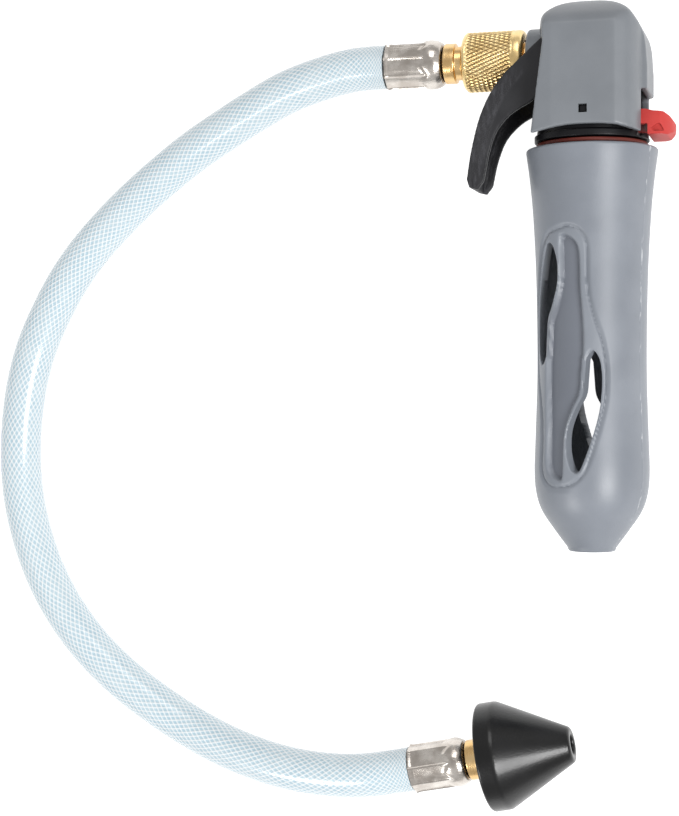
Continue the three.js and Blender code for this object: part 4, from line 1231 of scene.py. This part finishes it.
def tail_bmesh(rest):
    """A barbed tail, its collar, and what follows the collar."""
    long = FERRULE_LENGTH + GAP + GAP
    barbs = []
    for x in (2, 6, 10):
        barbs += [(3.0, x - 1.2), (3.7, x + 1.6), (3.0, x + 1.8)]
    profile = [(2.2, 0.8), *barbs, (3.7, long), (5.6, long), (5.6, long + 3.1), *rest, (2.2, rest[-1][1])]
    return placed(spun(eased(profile, 0.28), 120), ALONG_X)


collar_end = FERRULE_LENGTH + 2 * GAP + 3.1
gun_tail_high = span("gun_hose_tail")[1]
flange_to = gun_tail_high.x - ferrule_low.x + GAP
gun_rest = [
    (4.7, collar_end), (4.7, collar_end + 2.0), (3.9, collar_end + 2.0), (3.9, flange_to - 1.8),
    (THREAD, flange_to - 1.8), (THREAD, flange_to),
]
cone_base = collar_end + 1.9
cone_rest = [(4.7, collar_end), (4.7, cone_base - GAP), (4.0, cone_base - GAP), (4.0, cone_base + 12)]


def fitting(name, bm, finish, place, node):
    return show(name, placed(bm, place), finish, "gun", node, sharp=50)


gun_sleeve = fitting("gun_sleeve", ferrule_bmesh(), nickel_plate, GUN_END, "gun_ferrule")
cone_sleeve = fitting("cone_sleeve", ferrule_bmesh(), nickel_plate, DRAIN_END, "cone_ferrule")
gun_tail = fitting("gun_tail", tail_bmesh(gun_rest), turned_brass, GUN_END, "gun_hose_tail")
cone_tail = fitting("cone_tail", tail_bmesh(cone_rest), turned_brass, DRAIN_END, "cone_hose_tail")

# %% [markdown]
# ## The cone
#
# The drain cone is one moulding: a short straight land, a long taper, and a blunt tip with the
# gas hole through it.

# %% Cone
CONE_RADIUS = CONE_HEIGHT
CONE_LENGTH = 24.8
cone_profile = eased(
    [
        (4.3, cone_base), (CONE_RADIUS, cone_base), (CONE_RADIUS, cone_base + 5),
        (4.8, cone_base + CONE_LENGTH), (2.6, cone_base + CONE_LENGTH),
        (2.6, cone_base + 12.5), (4.3, cone_base + 12.5),
    ],
    0.8,
    steps=5,
)
cone = placed(spun(cone_profile, 160), ALONG_X)
cone = fitting("drain_cone", cone, cone_rubber, DRAIN_END, "rubber_cone")

# %% [markdown]
# ## The safety clip
#
# A glossy red pad stands out of the notch at the back of the head. Its fork slides round the
# valve column, on top of the flange.

# %% Clip
clip_high = span("safety_clip")[1]
PAD_BACK = FLANGE + GAP
PLATE_TOP = FLANGE_TOP + GAP + 2
REACH = clip_high.x
PAD_HALF = 8.0
PAD_BOW = 3.4
pad_outline = [
    (HEAD_BACK - 2.6, PLATE_TOP), (HEAD_BACK - 2.6, FLANGE_TOP + GAP), (PAD_BACK, FLANGE_TOP + GAP),
    (PAD_BACK, FLANGE_TOP - CLIP_DROP), (REACH - 1.8, FLANGE_TOP - CLIP_DROP), (REACH - 0.4, FLANGE_TOP - 1.6),
    (REACH, FLANGE_TOP - 0.4), (REACH - 0.1, FLANGE_TOP + 1), (REACH - 1.2, FLANGE_TOP + 2.5),
    (REACH - 2.7, FLANGE_TOP + 3.5), (HEAD_BACK + 1.4, FLANGE_TOP + 3.8), (HEAD_BACK - 0.4, FLANGE_TOP + 4.3),
    (HEAD_BACK - 2.6, FLANGE_TOP + 4.4),
]
bow_radius = (PAD_HALF**2 + PAD_BOW**2) / (2 * PAD_BOW)
bow_spread = degrees(asin(PAD_HALF / bow_radius))
pad_plan = [(0, -PAD_HALF), *arc((REACH - bow_radius, 0), bow_radius, -bow_spread, bow_spread, 24), (0, PAD_HALF)]
pad = carved(prism(pad_outline, PAD_HALF), ("INTERSECT", prism(pad_plan, far, FROM_ABOVE)))
clip_tools = []
for side in (1, -1):
    z = sorted((side * (COLUMN + 0.5), side * (NOTCH_HALF - GAP)))
    clip_tools.append(("UNION", slab((2, HEAD_BACK - 2), (FLANGE_TOP + GAP, PLATE_TOP), z)))
    hollow = prism(
        [(HEAD_BACK + 0.9, FLANGE_TOP - 0.9), (HEAD_BACK + 2.6, FLANGE_TOP + 0.3), (HEAD_BACK + 3.4, FLANGE_TOP + 0.2),
         (HEAD_BACK + 4.4, FLANGE_TOP - 1.7), (HEAD_BACK + 1.6, FLANGE_TOP - 1.7)],
        1.4, FROM_SIDE, (0, 0, side * (PAD_HALF + 0.3)))
    clip_tools.append(("DIFFERENCE", hollow))
bridge = slab((COLUMN + 3.6, HEAD_BACK - 1.6), (FLANGE_TOP + GAP, PLATE_TOP), (-PAD_HALF, PAD_HALF))
clip_tools.append(("UNION", bridge))
clip_tools.append(("DIFFERENCE", bar(COLUMN + 0.5, -far, far)))
clip = softened(carved(pad, *clip_tools), 0.16, rounds=3)
show(
    "clip", placed(clip, at=(0, 0, AXIS)), clip_plastic, "safety_clip", "safety_clip",
    sharp=60, weighted=False,
)

# %% [markdown]
# ## Pieces that keep their CAD shape
#
# The valve stem, its cage, the lance, the spring and the pin are inside. Their CAD shape is
# right, so they only take a finish.

# %% Finishes for the CAD nodes that stay
for node, finish in {
    "valve_stem": turned_brass,
    "valve_cage": turned_brass,
    "piercing_lance": bright_steel,
    "trigger_pin": bright_steel,
    "valve_spring": bright_steel,
}.items():
    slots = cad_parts[node].data.materials
    slots.clear()
    slots.append(finish.material)

# %% [markdown]
# ## The table
#
# A plain pale floor, which isn't part of the object.

# %% Floor
table_finish = Finish("table_white", roughness=0.9, specular_ior_level=0.0, emission_strength=0.95)
table_finish.set(base_color=(0.35, 0.35, 0.35, 1), emission_color=(1, 1, 1, 1))
floor_mesh = bmesh.new()
bmesh.ops.create_grid(floor_mesh, x_segments=2, y_segments=2, size=3)
mesh = bpy.data.meshes.new("table")
floor_mesh.to_mesh(mesh)
floor_mesh.free()
mesh.materials.append(table_finish.material)
table = bpy.data.objects.new("table", mesh)
table.location.z = -0.0002
bpy.context.scene.collection.objects.link(table)
